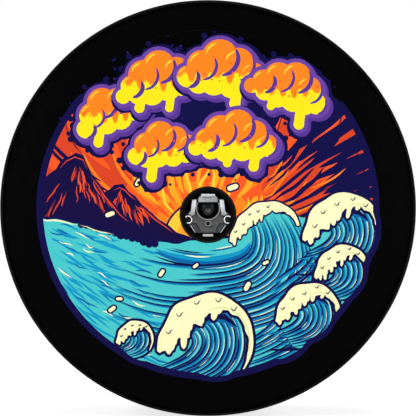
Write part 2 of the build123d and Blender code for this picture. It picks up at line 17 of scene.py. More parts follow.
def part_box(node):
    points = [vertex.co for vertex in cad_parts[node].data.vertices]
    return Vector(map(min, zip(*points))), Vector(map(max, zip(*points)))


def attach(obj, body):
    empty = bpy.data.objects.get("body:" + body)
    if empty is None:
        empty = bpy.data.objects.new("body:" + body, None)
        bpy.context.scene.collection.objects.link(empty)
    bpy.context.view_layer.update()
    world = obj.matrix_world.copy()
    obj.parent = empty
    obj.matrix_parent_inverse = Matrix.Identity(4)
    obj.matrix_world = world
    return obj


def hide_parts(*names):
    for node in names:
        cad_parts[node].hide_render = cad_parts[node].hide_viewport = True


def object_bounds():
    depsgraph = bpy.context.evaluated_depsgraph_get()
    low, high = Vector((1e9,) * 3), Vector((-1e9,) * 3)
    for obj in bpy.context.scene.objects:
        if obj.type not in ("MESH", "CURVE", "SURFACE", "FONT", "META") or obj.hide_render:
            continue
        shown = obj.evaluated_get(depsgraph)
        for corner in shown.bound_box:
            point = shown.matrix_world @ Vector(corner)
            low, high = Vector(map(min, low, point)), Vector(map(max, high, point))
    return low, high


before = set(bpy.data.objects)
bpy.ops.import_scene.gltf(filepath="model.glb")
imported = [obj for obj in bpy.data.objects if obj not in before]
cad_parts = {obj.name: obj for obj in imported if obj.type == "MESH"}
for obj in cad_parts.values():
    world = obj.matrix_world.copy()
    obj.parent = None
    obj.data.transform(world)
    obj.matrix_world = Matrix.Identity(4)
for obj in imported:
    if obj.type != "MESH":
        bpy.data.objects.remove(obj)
cad_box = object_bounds()

MM = 0.001
TAU = 2 * pi

# ---------------- sizes taken from the frame
panel_low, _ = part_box("front_panel")
_, band_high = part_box("side_band")
port_low, port_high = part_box("port_binding")
piping_low, piping_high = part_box("piping_cover")
elastic_low, elastic_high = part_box("elastic_cord")

FACE_Y = panel_low.y  # outer face of the flat front
PORT = Vector((0, 0, (port_low.z + port_high.z) / 2))
PORT_BINDING_R = (port_high.z - port_low.z) / 2
BAND_R = band_high.x
ELASTIC_R = (elastic_high.y - elastic_low.y) / 2
HEM_R = elastic_high.x - ELASTIC_R
HEM_Y = (elastic_high.y + elastic_low.y) / 2
PIPE_R = 0.0030
PIPE_RING_R = piping_high.x - PIPE_R
PIPE_Y = piping_low.y + PIPE_R

# ---------------- the cover's profile, as in the CAD
VINYL = 0.0012
PORT_HOLE_R = 0.0482
PORT_BORE_R = 0.0456  # the soft binding presses on the camera shroud all round
PANEL_FLAT_R = 0.300
PANEL_BEND_R = 0.2132
SEAM_TURN = radians(28.5)
SEAM_R = PANEL_FLAT_R + PANEL_BEND_R * sin(SEAM_TURN)
SEAM_Y = -FACE_Y - PANEL_BEND_R * (1 - cos(SEAM_TURN))
SHOULDER_R = 0.040
SHOULDER_RING_R = BAND_R - SHOULDER_R
SHOULDER_TURN = acos((SEAM_R - SHOULDER_RING_R) / SHOULDER_R)
SHOULDER_Y = SEAM_Y - SHOULDER_R * sin(SHOULDER_TURN)
SKIRT_FLAT_R = 0.345
SKIRT_Y = -FACE_Y
SKIRT_BEND_R = ((SEAM_R - SKIRT_FLAT_R) ** 2 + (SKIRT_Y - SEAM_Y) ** 2) / (2 * (SKIRT_Y - SEAM_Y))
SKIRT_EDGE_R = HEM_R + 0.0045

EYELET_HOLE_R = 0.0061
DRAIN_ANGLES = (radians(-97), radians(-83))
DRAIN_Y = 0.030
LOCK_ANGLES = (radians(-110), radians(-70))
LOCK_RING_R = 0.325
REARWARD = Vector((0, 1, 0))


# ---------------- shader helpers
def srgb(r, g, b):
    """The linear colour of an 8-bit screen colour."""

    def linear(v):
        v /= 255
        return v / 12.92 if v <= 0.04045 else ((v + 0.055) / 1.055) ** 2.4

    return (linear(r), linear(g), linear(b), 1.0)


class Shader:
    """A Principled material with its node tree and small ways to add to it."""

    def __init__(self, name, colour, roughness, metallic=0.0, specular=0.5):
        self.material = bpy.data.materials.new(name)
        self.material.use_nodes = True
        self.tree = self.material.node_tree
        self.bsdf = self.tree.nodes["Principled BSDF"]
        self.set("Base Color", colour)
        self.set("Roughness", roughness)
        self.set("Metallic", metallic)
        self.set("Specular IOR Level", specular)
        self.bumps = None
        self.position = None

    def set(self, socket, value):
        self.bsdf.inputs[socket].default_value = value

    def node(self, kind, **inputs):
        n = self.tree.nodes.new(kind)
        for key, value in inputs.items():
            n.inputs[key.replace("_", " ")].default_value = value
        return n

    def link(self, source, target):
        self.tree.links.new(source, target)

    def where(self):
        if self.position is None:
            self.position = self.node("ShaderNodeTexCoord").outputs["Object"]
        return self.position

    def texture(self, kind, output, place=None, **inputs):
        """An output of a node that is read at the object's own coordinates, or at another place."""
        n = self.node(kind, **inputs)
        self.link(place or self.where(), n.inputs["Vector"])
        return n.outputs[output]

    def noise(self, scale, detail, roughness=0.55, stretch=None):
        sizes = {"Scale": scale, "Detail": detail, "Roughness": roughness}
        place = self.texture("ShaderNodeMapping", "Vector", Scale=stretch) if stretch else None
        return self.texture("ShaderNodeTexNoise", "Fac", place, **sizes)

    def cells(self, scale):
        distance = self.texture("ShaderNodeTexVoronoi", "Distance", Scale=scale)
        distance.node.feature = "DISTANCE_TO_EDGE"
        return distance

    def weave(self, scale, axis):
        wave = self.texture("ShaderNodeTexWave", "Fac", Scale=scale, Distortion=0.4)
        wave.node.bands_direction = axis
        return wave

    def spread(self, source, low, high, start=0.3, end=0.7):
        """Maps a texture's range onto low to high."""
        n = self.node("ShaderNodeMapRange")
        for key, value in (("From Min", start), ("From Max", end), ("To Min", low), ("To Max", high)):
            n.inputs[key].default_value = value
        self.link(source, n.inputs["Value"])
        return n.outputs["Result"]

    def blend(self, factor, a, b):
        """Mixes the colours a and b into the base colour. With no a, the present base colour is used."""
        n = self.node("ShaderNodeMix")
        n.data_type = "RGBA"
        base = self.bsdf.inputs["Base Color"]
        self.link(factor, n.inputs["Factor"])
        if a:
            n.inputs["A"].default_value = a
        else:
            self.link(base.links[0].from_socket, n.inputs["A"])
        n.inputs["B"].default_value = b
        self.link(n.outputs["Result"], base)

    def mottle(self, texture, a, b):
        """Mottles the base colour from a to b as a texture goes from low to high."""
        self.blend(self.spread(texture, 0, 1), a, b)

    def painted_highlight(self, axis, start, end, colour):
        """Paints a highlight by fading the base colour into another as a surface's X, Y or Z goes from start
        to end.
        """
        split = self.node("ShaderNodeSeparateXYZ")
        self.link(self.where(), split.inputs["Vector"])
        self.blend(self.spread(split.outputs[axis], 0, 1, start, end), None, colour)

    def rough(self, factor, low, high):
        self.link(self.spread(factor, low, high), self.bsdf.inputs["Roughness"])

    def bump(self, height, strength, depth):
        n = self.node("ShaderNodeBump", Strength=strength, Distance=depth)
        self.link(height, n.inputs["Height"])
        if self.bumps is not None:
            self.link(self.bumps, n.inputs["Normal"])
        self.bumps = n.outputs["Normal"]
        self.link(self.bumps, self.bsdf.inputs["Normal"])


def vinyl(name, colour, other=None, roughness=0.62, specular=0.02):
    """Coated fabric with a fine leather grain. Inks keep one colour each, so that their edges stay sharp."""
    s = Shader(name, colour, roughness, specular=specular)
    s.rough(s.noise(60, 4), roughness - 0.05, roughness + 0.07)
    s.bump(s.cells(620), 0.22, 0.00018)
    s.bump(s.noise(90, 3), 0.10, 0.0006)
    if other:
        s.mottle(s.noise(9, 5), colour, other)
    return s.material


def rubber(name, colour):
    """Moulded rubber, a little paler in patches."""
    s = Shader(name, colour, 0.5, specular=0.3)
    s.mottle(s.noise(40, 4), colour, tuple(c * 1.9 for c in colour[:3]) + (1,))
    s.rough(s.noise(300, 3), 0.42, 0.58)
    s.bump(s.noise(900, 2), 0.2, 0.0001)
    return s.material


def plastic(name, colour, other, roughness=0.4, specular=0.45, painted_highlight=None):
    """Moulded plastic with spark-eroded texture, and an optional painted highlight, a paler place where light
    is taken to fall.
    """
    s = Shader(name, colour, roughness, specular=specular)
    s.mottle(s.noise(30, 4), colour, other)
    if painted_highlight:
        s.painted_highlight(*painted_highlight)
    s.rough(s.noise(160, 4), roughness - 0.07, roughness + 0.09)
    s.bump(s.noise(1400, 2), 0.15, 0.00008)
    return s.material


def cast_metal(name, colour, other, painted_highlight):
    """Painted casting with a pebbled skin, and a painted highlight, a paler place where light is taken to
    fall.
    """
    s = Shader(name, colour, 0.5, 0.2)
    s.mottle(s.noise(55, 5), colour, other)
    s.painted_highlight(*painted_highlight)
    s.rough(s.noise(220, 4), 0.4, 0.62)
    s.bump(s.noise(700, 4), 0.22, 0.00012)
    return s.material


def brushed(name, colour, other, roughness=0.3, metallic=1.0, painted_highlight=None):
    """Plated or oxidised metal with fine lines along X, and an optional painted highlight, a paler place
    where light is taken to fall.
    """
    s = Shader(name, colour, roughness, metallic)
    lines = s.noise(22, 4, 0.6, stretch=(4, 90, 90))
    s.mottle(lines, colour, other)
    if painted_highlight:
        s.painted_highlight(*painted_highlight)
    s.rough(lines, roughness - 0.08, roughness + 0.12)
    s.bump(lines, 0.08, 0.00005)
    return s.material


def powder_coat(name, colour, other):
    """Baked paint with a slight orange-peel skin."""
    s = Shader(name, colour, 0.45, specular=0.45)
    s.mottle(s.noise(20, 5), colour, other)
    s.rough(s.noise(120, 3), 0.38, 0.52)
    s.bump(s.noise(500, 3), 0.25, 0.00015)
    return s.material


def woven(name, colour, other, scale=420):
    """Cloth tape, thread or braid with crossing ribs."""
    s = Shader(name, colour, 0.75, specular=0.25)
    s.set("Sheen Weight", 0.25)
    s.mottle(s.weave(scale, "X"), colour, other)
    s.rough(s.noise(200, 3), 0.68, 0.85)
    s.bump(s.weave(scale, "X"), 0.4, 0.0002)
    s.bump(s.weave(scale, "Z"), 0.4, 0.0002)
    return s.material


def glass(name, tint):
    """Coated lens glass."""
    s = Shader(name, tint, 0.03, specular=0.5)
    s.set("Transmission Weight", 0.75)
    s.set("IOR", 1.5)
    s.set("Coat Weight", 0.6)
    s.rough(s.noise(60, 2), 0.02, 0.06)
    return s.material


# ---------------- the print's inks
INKS = {
    "black": (2, 2, 3),
    "navy": (18, 16, 68),
    "night": (22, 15, 62),
    "indigo": (44, 30, 98),
    "purple": (84, 52, 140),
    "violet": (102, 66, 154),
    "maroon": (120, 38, 48),
    "red": (208, 66, 36),
    "flame": (242, 86, 34),
    "orange": (246, 128, 32),
    "amber": (252, 162, 36),
    "sun": (252, 196, 56),
    "yellow": (240, 220, 28),
    "cream": (243, 237, 186),
    "foam_shade": (222, 226, 166),
    "mint": (150, 216, 196),
    "teal": (72, 190, 192),
    "pool": (60, 184, 194),
    "blue": (18, 144, 188),
    "deep": (14, 98, 158),
}


# ---------------- mesh helpers
def add_object(name, data):
    thing = bpy.data.objects.new(name, data)
    bpy.context.scene.collection.objects.link(thing)
    return thing


def add_piece(name, mesh, *materials):
    """Adds a piece that rides on the cover."""
    for material in materials:
        mesh.materials.append(material)
    piece = add_object(name, mesh)
    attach(piece, "cover")
    return piece


def outward(mesh):
    """Makes every face of a closed mesh look outwards."""
    bm = bmesh.new()
    bm.from_mesh(mesh)
    bmesh.ops.recalc_face_normals(bm, faces=bm.faces)
    bm.to_mesh(mesh)
    bm.free()
    return mesh


def mesh_from(name, points, faces):
    mesh = bpy.data.meshes.new(name)
    mesh.from_pydata([tuple(p) for p in points], [], faces)
    mesh.validate()
    mesh.shade_smooth()
    return outward(mesh)


def polar(radius, angle, y):
    return Vector((radius * cos(angle), y, radius * sin(angle)))


def tube_faces(base, rings, sides, whole):
    """Faces of a tube of rings of points. A tube that doesn't meet itself gets an end cap at each end."""
    faces = []
    for i in range(rings if whole else rings - 1):
        a, b = base + i * sides, base + (i + 1) % rings * sides
        for j in range(sides):
            k = (j + 1) % sides
            faces.append((a + j, a + k, b + k, b + j))
    if not whole:
        last = base + (rings - 1) * sides
        faces.append(tuple(range(base, base + sides))[::-1])
        faces.append(tuple(range(last, last + sides)))
    return faces


def add_ring(name, material, section, steps, start=0.0, end=TAU):
    """Adds a piece made by sweeping section(angle), a closed list of (radius, y), round the axle."""
    whole = abs(end - start - TAU) < 1e-9
    rings = steps if whole else steps + 1
    points = []
    for i in range(rings):
        angle = start + (end - start) * i / steps
        points += [polar(r, angle, y) for r, y in section(angle)]
    faces = tube_faces(0, rings, len(points) // rings, whole)
    return add_piece(name, mesh_from(name, points, faces), material)


def arc(centre, radius, start, end, count):
    """Points (r, y) along an arc, angles in radians from +r towards +y."""
    angles = np.linspace(start, end, count)
    return [(centre[0] + radius * cos(a), centre[1] + radius * sin(a)) for a in angles]


def plain(line):
    return [tuple(q) for q in line]


def left_of(line):
    """The unit normal to the left of a line at each of its points."""
    t = np.gradient(line, axis=0)
    t /= np.linalg.norm(t, axis=1)[:, None] + 1e-9
    return np.stack([-t[:, 1], t[:, 0]], axis=1)


def thicken(line, thickness):
    """A closed section from an open line of (r, y), with its second side offset to the line's left."""
    p = np.array(line)
    other = p + left_of(p) * thickness
    return plain(p) + plain(other[::-1])


# ---------------- stitches
STITCH_RISE = (-0.9, 0.35, 0.6, 0.35, -0.9)  # height of a stitch over the cloth, in thread radii
STITCH_SIDES = 6
STITCH_SHARE = 0.72  # a stitch's share of its pitch
THREAD_R = 0.00045


def stitch_row(name, place, count, thread, closed=True, radius=THREAD_R):
    """A row of thread stitches. place(s) gives the point and normal at s from 0 to 1 along the row."""
    points, faces = [], []
    rings = len(STITCH_RISE)
    for i in range(count):
        samples = []
        for j, rise in enumerate(STITCH_RISE):
            s = (i + STITCH_SHARE * (j / (rings - 1) - 0.5) + 0.5) / count
            p, n = place(s % 1.0 if closed else s)
            samples.append((p + n * rise * radius, n))
        ahead = (samples[-1][0] - samples[0][0]).normalized()
        faces += tube_faces(len(points), rings, STITCH_SIDES, False)
        for p, n in samples:
            side = n.cross(ahead).normalized()
            for k in range(STITCH_SIDES):
                a = TAU * k / STITCH_SIDES
                points.append(p + (side * cos(a) + n * sin(a)) * radius)
    row = add_piece(name, mesh_from(name, points, faces), thread)


# ---------------- drawing the printed picture
chance = random.Random(7).uniform  # seeded, so that the picture is the same each time
LAYERS = []  # (ink or None for a mask, polygons, index of the layer it's kept inside)


def layer(ink, polygons, within=None):
    LAYERS.append((ink, polygons, within))
    return len(LAYERS) - 1


def circle(x, z, r, sides=None):
    n = sides or max(9, min(72, int(8 + r * 0.42)))
    return [(x + r * cos(TAU * i / n), z + r * sin(TAU * i / n)) for i in range(n)]


def smooth_line(points, closed=False, per=3):
    """A Catmull-Rom curve through the points."""
    p = [np.array(q, dtype=float) for q in points]
    n = len(p)
    out = []
    for i in range(n if closed else n - 1):
        near = [i - 1, i, i + 1, i + 2]
        a, b, c, d = (p[k % n if closed else min(max(k, 0), n - 1)] for k in near)
        for j in range(per):
            t = j / per
            square = (2 * a - 5 * b + 4 * c - d) * t * t
            cube = (3 * b - a - 3 * c + d) * t**3
            out.append(0.5 * (2 * b + (c - a) * t + square + cube))
    if not closed:
        out.append(p[-1])
    return np.array(out)


def ribbon(line, width, taper=(1, 1), power=0.7):
    """A stroke along a line, drawn to a point at the ends named by taper."""
    p = np.array(line, dtype=float)
    s = np.linspace(0, 1, len(p))
    w = width / 2
    for pointed, share in zip(taper, (s, 1 - s)):
        if pointed:
            w = w * np.sin(np.clip(share * 2, 0, 1) * pi / 2) ** power
    side = left_of(p) * (w * np.ones_like(s) + 0.05)[:, None]
    return plain(p + side) + plain((p - side)[::-1])


def brush(points, width, taper=(1, 1), power=0.7):
    """A stroke along a smooth line through the points."""
    return ribbon(smooth_line(points), width, taper, power)


def along_line(line, start, end):
    """The part of a line between two shares of its length."""
    p = np.array(line)
    gaps = np.linalg.norm(np.diff(p, axis=0), axis=1)
    s = np.concatenate([[0], np.cumsum(gaps)])
    s /= s[-1]
    at = np.linspace(start, end, max(5, int(len(p) * (end - start))))
    return np.stack([np.interp(at, s, p[:, 0]), np.interp(at, s, p[:, 1])], axis=1)


def unit(degrees):
    return np.array([cos(radians(degrees)), sin(radians(degrees))])


PICTURE_R = 320.0
RIM_R = 333.0
SUN = np.array([-12.0, -60.0])
SUN_R = 71.0


def ray(degrees, start, end, width, bend, taper=(1, 1)):
    """A slightly curved stroke pointing away from the sun."""
    points = []
    for k in range(5):
        t = k / 4
        wander = unit(degrees + 90) * chance(-3, 3)
        points.append(SUN + unit(degrees + bend * t * t) * (start + (end - start) * t) + wander)
    return brush(points, width, taper)


# Rays of the sunset in the order drawn: ink, how many, and the ranges of their start, end and width
SKY_RAYS = (
    ("flame", 26, (130, 230), (280, 420), (11, 22)),
    ("maroon", 12, (200, 270), (290, 380), (3, 6)),
    ("red", 22, (110, 190), (230, 330), (8, 14)),
    ("flame", 20, (60, 100), (130, 200), (7, 15)),
    ("orange", 16, (100, 160), (190, 290), (5, 11)),
    ("amber", 17, (70, 110), (130, 215), (8, 16)),
    ("sun", 9, (70, 90), (110, 150), (4, 8)),
)


def draw_sky(picture):
    layer("red", [circle(0, 0, PICTURE_R + 2, 90)], picture)
    layer("flame", [circle(*SUN, 178, 60)], picture)
    layer("orange", [circle(*SUN, 112, 60)], picture)
    for ink, count, near, far, wide in SKY_RAYS:
        strokes = []
        for k in range(count):
            degrees = -6 + 192 * (k + chance(0.1, 0.9)) / count
            bend = chance(4, 14) if degrees < 90 else -chance(4, 12)
            strokes.append(ray(degrees, chance(*near), chance(*far), chance(*wide), bend))
        layer(ink, strokes, picture)


def draw_streaks(picture):
    """Dark wind-blown streaks in the sky, mostly on the right."""
    fangs = []
    for k in range(15):
        degrees = 4 + 3.1 * (k + chance(0.2, 0.8))
        start, width, bend = chance(215, 300), chance(15, 27), chance(-4, 3)
        fangs.append(ray(degrees, start, 430, width, bend, (1, 0)))
    layer("navy", fangs, picture)
    for low, high, count in ((3, 46, 19), (148, 170, 5)):
        dark, glow = [], []
        for k in range(count):
            degrees = low + (high - low) * (k + chance(0.2, 0.8)) / count
            bend = chance(2, 7) if degrees < 90 else -chance(4, 8)
            start = chance(130, 240)
            end = start + chance(90, 190)
            dark.append(ray(degrees, start, end, chance(4.4, 9.6), bend))
            if k % 4 == 0:
                glow.append(ray(degrees + 1.6, start + 10, (start + end) / 2, 4.0, bend))
        layer("navy", dark, picture)
        layer("orange", glow, picture)


def draw_sun(picture):
    layer("navy", [circle(*SUN, SUN_R + 4, 60)], picture)
    sun = layer("sun", [circle(*SUN, SUN_R, 60)], picture)
    layer("amber", [circle(SUN[0] + 14, SUN[1] - 10, SUN_R - 4, 60)], sun)


FAR_RANGE = [
    (-212, -80), (-206, 12), (-200, 28), (-190, 33), (-180, 42), (-166, 44), (-156, 30), (-142, 20),
    (-130, 4), (-112, -10), (-98, -24), (-78, -36), (-62, -50), (-36, -58), (-30, -84),
]
NEAR_RANGE = [
    (-345, -80), (-345, 30), (-306, 64), (-292, 74), (-282, 92), (-266, 98), (-256, 104), (-244, 100),
    (-238, 84), (-226, 60), (-212, 44), (-200, 24), (-184, 6), (-170, -12), (-146, -30), (-120, -50),
    (-100, -90),
]
# Each mountain: its outline, its peak, and how far its right slope leans out
MOUNTAINS = ((FAR_RANGE, (-170, 42), 1.05), (NEAR_RANGE, (-252, 102), 0.62))
MOUNTAIN_FOOT = -72
LEFT_LEAN = 0.62


def draw_mountains(picture):
    """Two dark mountains with thin glowing gullies running down from each peak."""
    for outline, peak, lean in MOUNTAINS:
        layer("navy", [ribbon(outline + outline[:1], 6, (0, 0))], picture)
        base = layer("night", [outline], picture)
        height = peak[1] - MOUNTAIN_FOOT
        strokes = {"maroon": [], "red": [], "flame": []}
        slopes = ((1, 13, lean, ("red", "flame", "maroon")), (-1, 7, LEFT_LEAN, ("red", "maroon")))
        for side, count, slant, inks in slopes:
            for k in range(count):
                share = (k + chance(0.2, 0.8)) / count
                slope = side * share * slant
                start = chance(0.02, 0.34) + 0.25 * share
                drop = chance(0.14, 0.38)
                points = []
                for j in range(5):
                    t = start + drop * j / 4
                    x = peak[0] + slope * height * t + chance(-2.2, 2.2)
                    points.append((x, peak[1] - height * t * (1 - 0.10 * share)))
                strokes[inks[k % len(inks)]].append(brush(points, chance(2.0, 3.8)))
                if k % 2:
                    x, z = points[1]
                    fork = [(x, z), (x + side * 5, z - 12), (x + side * 8, z - 22)]
                    strokes["red"].append(brush(fork, 2.4))
        for ink, gullies in strokes.items():
            layer(ink, gullies, base)
        ridge = np.array(outline[2:-2], dtype=float) + (1.0, -3.6)
        lit = [ribbon(along_line(ridge, 0.10, 0.42), 2.4), ribbon(along_line(ridge, 0.48, 0.96), 2.6)]
        layer("red", lit, base)


SEA_TOP = [
    (-335, -18), (-262, -28), (-188, -48), (-120, -64), (-56, -68), (-20, -62), (12, -60),
    (46, -54), (66, -34), (108, -8), (160, -14),
]
SEA_LOW = [
    (-318, -110), (-276, -196), (-206, -262), (-112, -314), (-60, -328), (-4, -334), (98, -316),
    (172, -262), (208, -192), (214, -128), (190, -80),
]

# Stretches of banded water: the line above, the line below, how many bands, and where bands start and end
WATER = (
    (
        [(72, -12), (86, -52), (78, -86), (44, -104), (-8, -110), (-70, -108), (-128, -96), (-176, -80)],
        [(174, -6), (212, -78), (204, -160), (140, -222), (24, -250), (-96, -252), (-190, -222),
         (-250, -180)],
        16, (0.0, 0.05), (0.55, 1.0),
    ),
    (
        [(118, -150), (150, -126), (180, -104), (206, -70), (216, -30)],
        [(150, -270), (204, -226), (240, -190), (266, -140), (290, -90)],
        10, (0.0, 0.1), (0.8, 1.0),
    ),
    (
        [(136, -190), (128, -216), (106, -238), (78, -256), (42, -272)],
        [(262, -190), (246, -236), (196, -276), (130, -308), (56, -330)],
        10, (0.0, 0.1), (0.85, 1.0),
    ),
)

# Each band of water: ink, where it sits in the band and its share of the band's width
BAND_STROKES = (
    ("blue", 0.40, 0.66), ("deep", 0.20, 0.46), ("navy", 0.0, 0.37), ("mint", 0.76, 0.14),
    ("cream", 0.87, 0.10),
)

# Dashes on the open water: ink, how many, width, and length as a share of the sea's
SEA_DASHES = (
    ("pool", 20, 6.0, 0.14), ("blue", 64, 5.6, 0.10), ("deep", 22, 3.4, 0.07), ("cream", 16, 2.6, 0.05),
)

# The trough under the port, and its ripples: ink, height over the trough, start, end and width
TROUGH = [(-104, -84), (-60, -98), (0, -104), (60, -92), (84, -70)]
TROUGH_RIPPLES = (
    ("deep", 0, 0, 1, 16), ("blue", 5, 0, 1, 9), ("navy", -9, 0, 1, 5), ("deep", 13, 0.10, 0.62, 4),
    ("navy", 17, 0.16, 0.50, 2.6), ("deep", 20, 0.52, 0.84, 3.4), ("cream", 9, 0.30, 0.56, 2.6),
    ("cream", 23, 0.60, 0.80, 2.2),
)


def draw_bands(within, top, low, rows, starts, ends):
    """Comic-book water between two lines: each band is a dark line with deep and blue shades beside it."""
    top, low = np.array(top, dtype=float), np.array(low, dtype=float)
    spans = [(k + chance(-0.22, 0.22), chance(*starts), chance(*ends)) for k in range(rows)]
    for ink, offset, width in BAND_STROKES:
        strokes = []
        for k, start, end in spans:
            if ink in ("mint", "cream"):
                start += (end - start) * chance(0.05, 0.5)
                end = min(end, start + chance(0.08, 0.26))
            elif ink == "blue":
                end -= (end - start) * chance(0.0, 0.25)
            lines = (smooth_line(top + (low - top) * row / rows, per=4) for row in (k, k + 1))
            a, b = (along_line(line, start, end) for line in lines)
            gap = np.clip(np.linalg.norm(b - a, axis=1), 4.0, 15.0)
            strokes.append(ribbon(a + (b - a) * offset, gap * width))
        layer(ink, strokes, within)


def draw_sea(picture):
    ripple = np.array([(x, z + 2.0 * sin(x / 8.0)) for x, z in smooth_line(SEA_TOP, per=5)])
    lumps = []
    for x in range(-246, -96, 11):
        z = -30 - 0.28 * (x + 250) + chance(-2, 2)
        lumps.append(circle(x, z, chance(6, 9)))
    layer("navy", [ribbon(ripple, 10, (0, 0))] + lumps, picture)
    sea = layer("teal", [plain(ripple) + [(330, -60), (330, -340), (-340, -340)]], picture)
    layer("navy", lumps, picture)
    lit = [(along_line(ripple, 0.0, 0.16) - (0, 2), 3.4), (along_line(ripple, 0.17, 0.3) - (0, 3), 2)]
    layer("cream", [ribbon(line, width) for line, width in lit], sea)
    sea_top, sea_low = np.array(SEA_TOP), np.array(SEA_LOW)
    for ink, count, width, length in SEA_DASHES:
        dashes = []
        for k in range(count):
            share = (k + chance(0, 1)) / count
            line = smooth_line(sea_top + (sea_low - sea_top) * (0.04 + 0.9 * share), per=5)
            start = chance(0.01, 0.40)
            piece = along_line(line, start, start + length * chance(0.6, 1.2))
            piece[:, 1] += 2.4 * np.sin(np.linspace(0, chance(3, 6), len(piece)) + k)
            dashes.append(ribbon(piece, width * chance(0.7, 1.1)))
        layer(ink, dashes, sea)
    for ink, rise, start, end, width in TROUGH_RIPPLES:
        line = smooth_line(np.array(TROUGH) + (0, rise))
        whole = start == 0 and end == 1
        layer(ink, [ribbon(line if whole else along_line(line, start, end), width)], sea)
    for top, low, rows, starts, ends in WATER:
        draw_bands(sea, top, low, rows, starts, ends)


# The main crest beside the port, in millimetres: the middle of its foam and half its width there
MAIN_CREST = [
    (176, -34, 2), (160, -8, 5), (134, 2, 9), (108, 0, 12), (86, -12, 14), (68, -30, 13), (54, -50, 9),
    (44, -66, 3),
]

# A breaking wave in its own units: the curl's middle is 0, 0 and its back is about 1 away
WAVE_BODY = [
    (-0.72, -0.62), (-0.92, -0.22), (-0.84, 0.30), (-0.46, 0.76), (0.06, 0.98), (0.56, 0.86),
    (0.90, 0.50), (1.02, 0.02), (0.94, -0.44), (0.64, -0.82), (0.10, -1.05), (-0.42, -1.06),
]
WAVE_BACK = [
    (0.00, 0.98), (0.54, 0.86), (0.89, 0.49), (1.00, 0.02), (0.92, -0.44), (0.63, -0.80),
    (0.10, -1.03), (-0.60, -1.14), (-1.34, -1.16),
]
WAVE_UNDER = [
    (-0.56, 0.16), (-0.40, 0.18), (-0.28, 0.08), (-0.26, -0.06), (-0.34, -0.20), (-0.50, -0.34),
    (-0.74, -0.46), (-1.04, -0.58), (-1.40, -0.70),
]
WAVE_HOLLOW = [(-0.80, -0.20), (-0.52, 0.08), (-0.22, 0.36), (0.12, 0.54), (0.46, 0.52), (0.74, 0.30)]
WAVE_CREST = [
    (0.86, -0.66, 0.01), (1.01, -0.28, 0.04), (1.03, 0.10, 0.06), (0.90, 0.48, 0.08), (0.62, 0.76, 0.12),
    (0.26, 0.84, 0.20), (-0.10, 0.74, 0.28), (-0.40, 0.54, 0.31), (-0.64, 0.26, 0.28), (-0.84, -0.02, 0.18),
    (-1.00, -0.24, 0.04),
]
# A short curled mark on the foam, in millimetres
FOAM_TICK = np.array([(-3.4, 1.6), (-1.4, -1.8), (1.2, -1.2), (2.2, 1.0), (4.2, 1.6)])
FOAM_FINGERS = 7


def draw_foam(within, crest, line, drip):
    """A foam crest along its spine, with a lumpy upper edge and pointed drips below."""
    spine = smooth_line([c[:2] for c in crest], per=6)
    s = np.linspace(0, 1, len(spine))
    half = np.interp(s, np.linspace(0, 1, len(crest)), [c[2] for c in crest])
    out = -left_of(spine)
    lumps = 1 + 0.10 * np.sin(s * 31 + chance(0, 6))
    rags = 1 + 0.22 * np.sin(s * 47 + chance(0, 6)) + 0.12 * np.sin(s * 89)
    upper, under = spine + out * (half * lumps)[:, None], spine - out * (half * rags)[:, None]
    outline = np.concatenate([upper, under[::-1]])
    edge = np.concatenate([outline, outline[:2]])
    shapes, rims = [plain(outline)], [ribbon(edge, 2 * line, (0, 0))]
    for k in range(FOAM_FINGERS):
        i = int(len(spine) * (0.40 + 0.56 * (k + chance(0.2, 0.8)) / FOAM_FINGERS))
        root = under[i] + out[i] * half[i] * 0.5
        length = drip * chance(0.5, 1.2) * (0.6 + half[i] / half.max())
        tip = under[i] + np.array([-0.30 - 0.25 * chance(0, 1), -1.0]) * length * 0.9
        width = max(3.4, half.max() * chance(0.34, 0.5))
        path = smooth_line([root, (root + tip) / 2 + (chance(-1, 1), 0), tip])
        for pieces, rim in ((shapes, 0), (rims, line)):
            pieces += [ribbon(path, width + 2 * rim, (0, 1), 0.6), circle(*path[-2], width * 0.26 + rim)]
    layer("navy", rims, within)
    foam = layer("cream", shapes, within)
    shade = spine - out * (half * 0.55)[:, None]
    layer("foam_shade", [ribbon(along_line(shade, 0.12, 0.60), half.max() * 0.20)], foam)
    ticks = []
    for k in range(5):
        i = int(len(spine) * (0.38 + 0.11 * k))
        p = spine[i] + out[i] * half[i] * chance(-0.2, 0.5)
        ticks.append(brush(p + FOAM_TICK * max(0.8, half.max() / 14), 2.3))
    layer("navy", ticks, foam)


def draw_wave(within, middle, size):
    """A breaking wave: flowing bands round a dark hollow, under a dripping crest."""

    def put(points):
        return [(middle[0] + size * x, middle[1] + size * z) for x, z in points]

    line = 4.4 + size * 0.014
    under, back, hollow = put(WAVE_UNDER), put(WAVE_BACK), put(WAVE_HOLLOW)
    layer("navy", [brush(back, 2.4 * line, (0, 1))], within)
    body = layer("teal", [plain(smooth_line(put(WAVE_BODY), closed=True))], within)
    draw_bands(within, under, back, max(6, round(size / 7.5)), (0.0, 0.08), (0.72, 1.0))
    layer("deep", [brush(np.array(hollow) - (0, size * 0.05), size * 0.20)], body)
    layer("navy", [brush(hollow, size * 0.17)], body)
    crest = [(middle[0] + size * x, middle[1] + size * z, size * w) for x, z, w in WAVE_CREST]
    draw_foam(within, crest, line, size * 0.17)


def draw_spray(picture, places):
    """Drops thrown off the waves: long, cream and outlined."""
    for x, z, r in places:
        lean = chance(-0.1, 1.1)
        way = np.array([cos(lean), sin(lean)]) * r * 0.9
        drop = [(x, z) - way, np.array([x, z]), (x, z) + way]
        for ink, rim in (("navy", 3.4), ("cream", 0.0)):
            ends = [circle(*drop[k], 0.68 * r + rim) for k in (0, 2)]
            layer(ink, [brush(drop, 1.4 * r + 2 * rim, (0, 0))] + ends, picture)


# Puffs of a cloud in its own units: x, z and radius
CLOUD_PUFFS = (
    (-0.80, -0.16, 0.26), (-0.50, 0.12, 0.34), (-0.10, 0.32, 0.40), (0.32, 0.20, 0.36), (0.66, -0.02, 0.29),
    (0.92, -0.22, 0.19), (0.56, -0.26, 0.24), (0.20, -0.28, 0.30), (-0.20, -0.24, 0.31), (-0.54, -0.28, 0.24),
)

